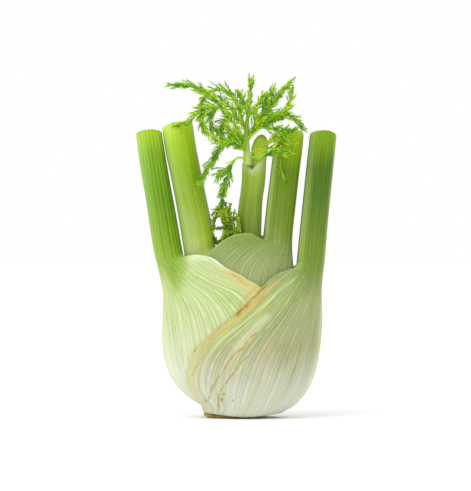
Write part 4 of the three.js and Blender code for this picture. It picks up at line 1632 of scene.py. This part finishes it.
INNER_RIGHT = WrappedLeaf(
    name="fennel_leaf_right_inner",
    node="leaf_right_inner",
    side=Side.RIGHT,
    rib=[
        (8, 24), (12, 28), (20, 33), (31, 36.5), (45, 38.3), (60, 37.5), (80, 34.5), (90, 33), (105, 31.6),
        (131, 33.5), (151.7, 35.8), (182, 39),
    ],
    far=[(8, 20), (12, 26.3), (20, 33.5), (31, 39), (45, 41), (60, 40), (80, 36), (96, 35), (107, 36.5)],
    depth=[
        (8, 17.8), (12, 21.3), (20, 24.6), (31, 27.1), (45, 28.3), (60, 27.6), (80, 23.8), (96, 18.2),
        (104, 15.1), (107, 14.3), (114, 12.6), (119, 11.3),
    ],
    thick=[(8, 6), (20, 8), (40, 10), (60, 12), (80, 15), (90, 17), (105, 18.4)],
    rows=[
        (8, 168, 0, 0), (14, 163, 0, 0), (22, 159, 0, 0), (40, 152, 0, 0), (60, 146, 0, 0), (76, 141, 0, 0),
        (86, 139, 3, 0), (92, 133, 9, 0.03), (97, 122, 12.5, 0.1), (101, 107, 14.5, 0.2), (105, 90, 12, 0.38),
        (109, 76, 3.8, 0.64), (112.5, 68, 0.4, 0.88), (117, 64, 0, 1),
    ],
    stalk=[(96, 9.9), (112, 9.3), (182, 9)],
    cut=(182.6, 0.28, 0),
    back_wrap=-14,
    skin=LeafFinish(
        "right_inner_skin",
        (
            (0, linear(176, 182, 138)), (70, linear(166, 173, 126)), (95, linear(150, 160, 110)),
            (108, linear(132, 148, 84)), (118, linear(112, 134, 52)), (135, linear(102, 128, 30)),
            (155, linear(96, 130, 10)), (168, linear(130, 163, 14)), (181, linear(172, 196, 26)),
        ),
        vein_pale_and_highlight=0.05,
        groove_dark=0.75,
        flute_dark=0.3,
        lit_sides=((0.78, 1.0, 0.42),),
        shaded_sides=((0.7, 0.3, 0.5),),
        flute_pitch=5.0,
    ),
    cut_skin=PITH,
    seed=23,
    flute_relief=0.18,
    flute_pitch=5.0,
)

INNER_LEFT = WrappedLeaf(
    name="fennel_leaf_left_inner",
    node="leaf_left_inner",
    side=Side.LEFT,
    rib=[
        (8, 17.9), (12, 23), (20, 30.5), (31, 35), (45, 37.2), (60, 36.8), (80, 33.6), (90, 34), (98, 35),
        (105.6, 36.5), (121, 39), (151.7, 44.8), (177, 49.3), (188, 50.6),
    ],
    far=[
        (8, 17.2), (12, 20.5), (20, 24), (31, 26.6), (45, 27), (60, 24.6), (80, 18.7), (90, 15.2),
        (100, 12.8),
    ],
    depth=[
        (8, 15.7), (12, 19.2), (20, 22.5), (31, 25), (45, 26.2), (60, 25.5), (80, 21.7), (96, 16.1),
        (104, 12.9), (112, 11.2),
    ],
    thick=[(8, 5), (20, 8), (40, 10), (60, 12), (80, 15.5), (90, 18), (104, 20.3)],
    rows=[
        (8, 168, 0, 0), (14, 164, 0, 0), (22, 160, 0, 0), (40, 153, 0, 0), (60, 146, 0, 0), (76, 136, 0, 0),
        (88, 118, 0, 0), (95, 96, 0.5, 0), (100, 76, 1, 0.1), (105, 60, 1, 0.6), (111, 55, 0, 1),
    ],
    stalk=[(104, 10.2), (188, 9.7)],
    cut=(187, 0.26, -0.12),
    back_wrap=-4,
    skin=LeafFinish(
        "left_inner_skin",
        (
            (0, linear(181, 188, 145)), (90, linear(172, 187, 124)), (104, linear(180, 196, 122)),
            (118, linear(152, 174, 92)), (138, linear(137, 164, 60)), (160, linear(137, 171, 48)),
            (174, linear(154, 189, 48)), (187, linear(186, 214, 60)),
        ),
        vein_pale_and_highlight=0.4,
        flute_dark=0.3,
        flute_pitch=3.0,
        lit_sides=((0.5, 0.15, 0.22),),
        shaded_sides=((0.4, 0.78, 0.85),),
    ),
    cut_skin=PITH,
    seed=24,
    flute_relief=0.06,
    flute_pitch=7.0,
)

SPREADING = Frond(
    name="fennel_frond_spreading",
    node="frond_spreading",
    slot="frond_green",
    limbs=(
        Limb(((3.6, -8.4, 160), (3.1, -8, 169), (2.8, -6, 178), (3.8, -3, 192), (5, 0, 204), (5.7, 2, 214)), 2.9, 0.5),
        Limb(((2.9, -7, 174), (-6.4, -9, 188), (-12.7, -10, 196.5), (-22, -10, 205), (-33, -9, 210),
              (-43.8, -8, 210.5)), 1.1, 0.2),
        Limb(((3, -6, 179), (-2, 0, 196), (-8, 5, 206), (-15, 8, 208.5), (-24, 10, 203), (-27, 10, 194)), 1.0, 0.25),
        Limb(((-13, -10, 196.5), (-20, -13, 197), (-25.4, -15, 190), (-23, -15, 182), (-17.1, -14, 176.2)), 0.8, 0.1),
        Limb(((-21, -13.4, 196.5), (-28, -16, 193), (-33, -16, 188), (-40, -15, 186)), 0.7, 0.1),
        Limb(((3, -8, 173), (-7, -12, 175), (-14, -14, 170), (-19, -14, 162), (-25.4, -13, 150.8)), 0.9, 0.2),
        Limb(((3.4, -8.6, 164), (-3, -12, 164.5), (-8, -12, 156), (-11, -10, 146), (-12.7, -8, 136)), 0.9, 0.2),
        Limb(((2.9, -6, 177), (11.4, -4, 189), (19, -3, 199.7), (25.4, -2, 207), (30.5, -1, 212.5)), 1.1, 0.15),
        Limb(((3, -6, 176), (15, -10, 186), (24, -9, 191), (29.5, -7, 198), (31.1, -5, 206)), 1.0, 0.2),
        Limb(((3, -7.4, 175), (15, -13, 187), (23, -15, 191.5), (31, -16, 190), (37.5, -15.5, 184)), 0.9, 0.25),
        Limb(((3.4, -8.2, 167), (12, -13, 171), (21.6, -15, 176), (29.2, -15.5, 174.3)), 0.42, 0.36),
        Limb(((-11.3, -10, 198.7), (-16.3, -7, 196.2), (-20.1, -6, 189.9), (-17.6, -7, 183.7),
              (-13.8, -8, 179.9)), 0.7, 0.1),
        Limb(((-5.1, -9, 191.2), (-10.1, -5, 188.7), (-12.6, -3, 183.7), (-13, -3, 178)), 0.7, 0.1),
        Limb(((-7.6, -11, 158.6), (-12.6, -13, 156.1), (-14.5, -14, 152.9)), 0.6, 0.1),
        Limb(((3.6, -3.5, 190), (9, -5, 197), (13.1, -7, 202.8)), 0.7, 0.1),
        Limb(((4, -3, 190), (1, 2, 198.7), (-1.5, 5, 206)), 0.7, 0.1),
        Limb(((11.2, -6, 191.2), (15, -1, 200), (19, 2, 208)), 0.6, 0.2),
        Limb(((12, -11, 183.5), (21.2, -17, 182.5), (27.3, -19, 179.7)), 0.7, 0.1),
        Limb(((21.2, -15, 175.7), (26.3, -17, 179.9), (31.3, -18, 181.2)), 0.6, 0.1),
        Limb(((3.5, -8.4, 165), (13.7, -15, 165.6), (20, -17, 168.3), (25, -18, 166.9)), 0.36, 0.42),
        Limb(((3, -7, 172), (-2, -4, 178), (-6, -2, 180), (-9, -1, 174)), 0.7, 0.1),
        Limb(((3.3, -8.3, 168), (-2.6, -4, 172.2), (-5.7, -1, 177.9)), 0.7, 0.2),
        Limb(((3, -7, 176), (7, -10, 182), (9, -12, 188), (8, -13, 194)), 0.7, 0.1),
        Limb(((2.9, -6, 180), (0, -9, 187), (-1, -11, 194)), 0.7, 0.1),
        Limb(((6, 0, 182), (12, 5, 190), (18, 9, 196), (20, 12, 190)), 0.7, 0.1),
        Limb(((8.3, -8, 163.5), (16.5, -12, 170), (24, -14, 170.5), (30.5, -15, 168.6)), 0.34, 0.2, 0.22),
        Limb(((13, -8, 171), (19, -12, 175), (24.5, -14, 178.5), (30, -14, 182)), 0.34, 0.1, 0.22),
        Limb(((15, -8, 166), (22, -13, 167), (28, -14, 171), (32, -14, 174)), 0.34, 0.1, 0.22),
        Limb(((24, -11.2, 163.5), (24.3, -11, 158), (26.2, -10.6, 151.5)), 0.4, 0.0, 0.3),
        Limb(((3.1, -5, 182), (-3, -5, 190), (-8, -5, 197), (-14, -5, 203)), 0.8, 0.05, 0.6),
        Limb(((3.2, -8.6, 166), (0.2, -11.5, 171), (-1.4, -12.5, 177), (-3, -12.5, 183)), 0.6, 0.1),
        Limb(((3, -8, 170), (-4, -10.5, 176), (-8, -11.5, 182), (-9, -11.5, 187)), 0.6, 0.15, 0.7),
    ),
    finish=FrondFinish("spreading_green", linear(64, 132, 4), linear(144, 202, 6), linear(212, 240, 48)),
    seed=11,
    spacing=0.5,
    length=7.5,
    thread=0.4,
    slant=(8.0, 42.0),
    lean=(12.0, 34.0),
)

YOUNG = Frond(
    name="fennel_frond_young",
    node="frond_young",
    slot="young_green",
    limbs=(
        Limb(((-13, 0, 107), (-12, -3, 114), (-11, -5, 120), (-12, -5, 127), (-12.7, -4, 137)), 1.8, 0.1),
        Limb(((-13, 0, 107), (-16.5, -2, 112), (-18.3, -4, 117), (-18.2, -5, 123), (-15, -5, 132)), 1.2, 0.1),
        Limb(((-12, -2, 112), (-8, -5, 115), (-5, -7, 118), (-2.5, -9.5, 121), (-2.5, -10, 125)), 1.1, 0.05),
        Limb(((-11, -4, 117), (-8, -6, 122), (-5.5, -7, 126), (-5, -7, 130)), 1.1, 0.05),
        Limb(((-12, -5, 124), (-9, -5, 129), (-7.5, -5, 134)), 1.0, 0.05),
        Limb(((-18, -4, 120.5), (-15, -5, 120.5), (-12, -5, 121)), 0.8, 0.0),
        Limb(((-13, -5, 128), (-16.5, -5, 131), (-18.5, -5, 129)), 0.8, 0.0),
        Limb(((-10, -3, 112), (-6, -5, 112), (-3, -8, 115), (-1.5, -9.8, 119)), 0.8, 0.0),
        Limb(((-12, -3, 113), (-9, -6, 118), (-8.5, -7, 124), (-9.5, -7, 130)), 0.8, 0.0),
        Limb(((-10, -4, 113), (-6.5, -7, 118), (-6, -8, 123), (-7, -8, 128)), 0.8, 0.0),
        Limb(((-11, -5, 121), (-9.5, -7, 126), (-11, -7, 131), (-13.5, -6, 134)), 0.7, 0.0),
        Limb(((-12, -5, 128), (-10, -6, 133), (-11.5, -5, 137)), 0.7, 0.0),
        Limb(((-9, -5, 112), (-6, -8, 114), (-4.5, -9, 117), (-5.5, -9, 121)), 0.7, 0.0),
        Limb(((-17, -3, 112), (-14.5, -5, 112), (-12.5, -6, 114)), 0.7, 0.0),
        Limb(((-18, -5, 127), (-15, -6, 128), (-12, -6, 127)), 0.7, 0.0),
        Limb(((-17, -5, 130.5), (-14, -6, 131), (-12, -6, 132)), 0.7, 0.0),
        Limb(((-1, -9.8, 117.5), (-2.2, -10, 122), (-3.4, -10, 128)), 0.6, 0.0),
    ),
    finish=FrondFinish("young_green", linear(72, 120, 2), linear(150, 188, 4), linear(196, 216, 30)),
    seed=5,
    spacing=0.36,
    length=3.4,
    curl=0.8,
    thread=0.5,
)


FLOOR_WHITE, FLOOR_GREY = (0.93, 0.93, 0.93), (0.9, 0.9, 0.9)
KEY_LIGHT, FILL_LIGHT = (-0.9, -0.9, 0.9), (1.1, -0.9, 0.5)
LIT_POINT = (0.0, 0.0, 0.1)
SUN_TURN = (math.radians(28), math.radians(-24), 0.0)


@dataclass
class Studio:
    """A plain pale floor, soft light from the left, and a camera level with the middle of the head."""

    distance: float = 1.8
    floor_size: float = 30.0
    sensor: float = 36.0

    def camera(self) -> None:
        """Set the camera so that the long side of the picture spans its pixels' real size at the head's axis."""
        scale = MM_PER_PIXEL * MM
        right, up = (PHOTO_SIZE[0] / 2 - AXIS_PIXEL) * scale, (GROUND_PIXEL - PHOTO_SIZE[1] / 2) * scale
        data = bpy.data.cameras.new("studio_camera")
        data.sensor_width = self.sensor
        data.lens = self.sensor * self.distance / (max(PHOTO_SIZE) * scale)
        camera = bpy.data.objects.new("studio_camera", data)
        camera.location = (right, -self.distance, up)
        camera.rotation_euler = (math.radians(90), 0, 0)
        bpy.context.scene.collection.objects.link(camera)
        bpy.context.scene.camera = camera

    def floor(self) -> None:
        """Lay the floor, as one pale matt sheet."""
        half = self.floor_size / 2
        mesh = bpy.data.meshes.new("studio_floor")
        corners = [(-half, -half, 0), (half, -half, 0), (half, half, 0), (-half, half, 0)]
        mesh.from_pydata(corners, [], [(0, 1, 2, 3)])
        bench = Bench("studio_floor")
        cloud = bench.noise(bench.place(), FLOOR_GRAIN)
        white = bench.mix(cloud * 0.1, FLOOR_WHITE, FLOOR_GREY)
        mesh.materials.append(bench.surface(white, 0.9, None, {"Specular IOR Level": 0.1}))
        floor = bpy.data.objects.new("studio_floor", mesh)
        bpy.context.scene.collection.objects.link(floor)
        floor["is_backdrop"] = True

    def lamp(self, name: str, place: Place, size: float, power: float) -> None:
        """Hang one square soft light, turned to face the head.

        Args:
            name: The light's name.
            place: Where it hangs, in metres.
            size: Its side.
            power: Its power in watts.
        """
        data = bpy.data.lights.new(name, "AREA")
        data.size, data.energy = size, power
        lamp = bpy.data.objects.new(name, data)
        lamp.location = place
        way = np.array(LIT_POINT) - np.array(place)
        flat = math.hypot(way[0], way[1])
        lamp.rotation_euler = (math.atan2(flat, -way[2]), 0, math.atan2(way[1], way[0]) - math.pi / 2)
        bpy.context.scene.collection.objects.link(lamp)

    def light(self) -> None:
        """Fill the room with white and hang a key light on the left and a weak one on the right."""
        world = bpy.data.worlds.new("studio_world")
        world.use_nodes = True
        background = world.node_tree.nodes["Background"]
        background.inputs["Color"].default_value = (1, 1, 1, 1)
        background.inputs["Strength"].default_value = 1.0
        bpy.context.scene.world = world
        self.lamp("key_light", KEY_LIGHT, size=0.7, power=4.5)
        self.lamp("fill_light", FILL_LIGHT, size=0.9, power=2.0)
        sun = bpy.data.lights.new("room_light", "SUN")
        sun.energy, sun.angle = 0.7, math.radians(50)
        lamp = bpy.data.objects.new("room_light", sun)
        lamp.rotation_euler = SUN_TURN
        bpy.context.scene.collection.objects.link(lamp)

    def build(self) -> None:
        """Set up the camera, the floor, the lights and the plain colour transform."""
        self.camera()
        self.floor()
        self.light()
        settings = bpy.context.scene.view_settings
        settings.view_transform = "Standard"
        settings.look = "None"


def main() -> None:
    """Build the studio and the head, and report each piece."""
    logging.basicConfig(level=logging.INFO, format="%(name)s: %(message)s")
    Studio().build()
    makers = [RootPlate(), OUTER_RIGHT, OUTER_LEFT, INNER_RIGHT, INNER_LEFT, CentreLeaf(), SPREADING, YOUNG]
    for maker in makers:
        for piece in maker.build():
            piece.data.calc_loop_triangles()
            log.info("%s: %d triangles", piece.name, len(piece.data.loop_triangles))
    boxes = {"cad": cad_box, "visual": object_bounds()}
    sizes = {name: [list(corner) for corner in box] for name, box in boxes.items()}


if __name__ == "__main__":
    main()
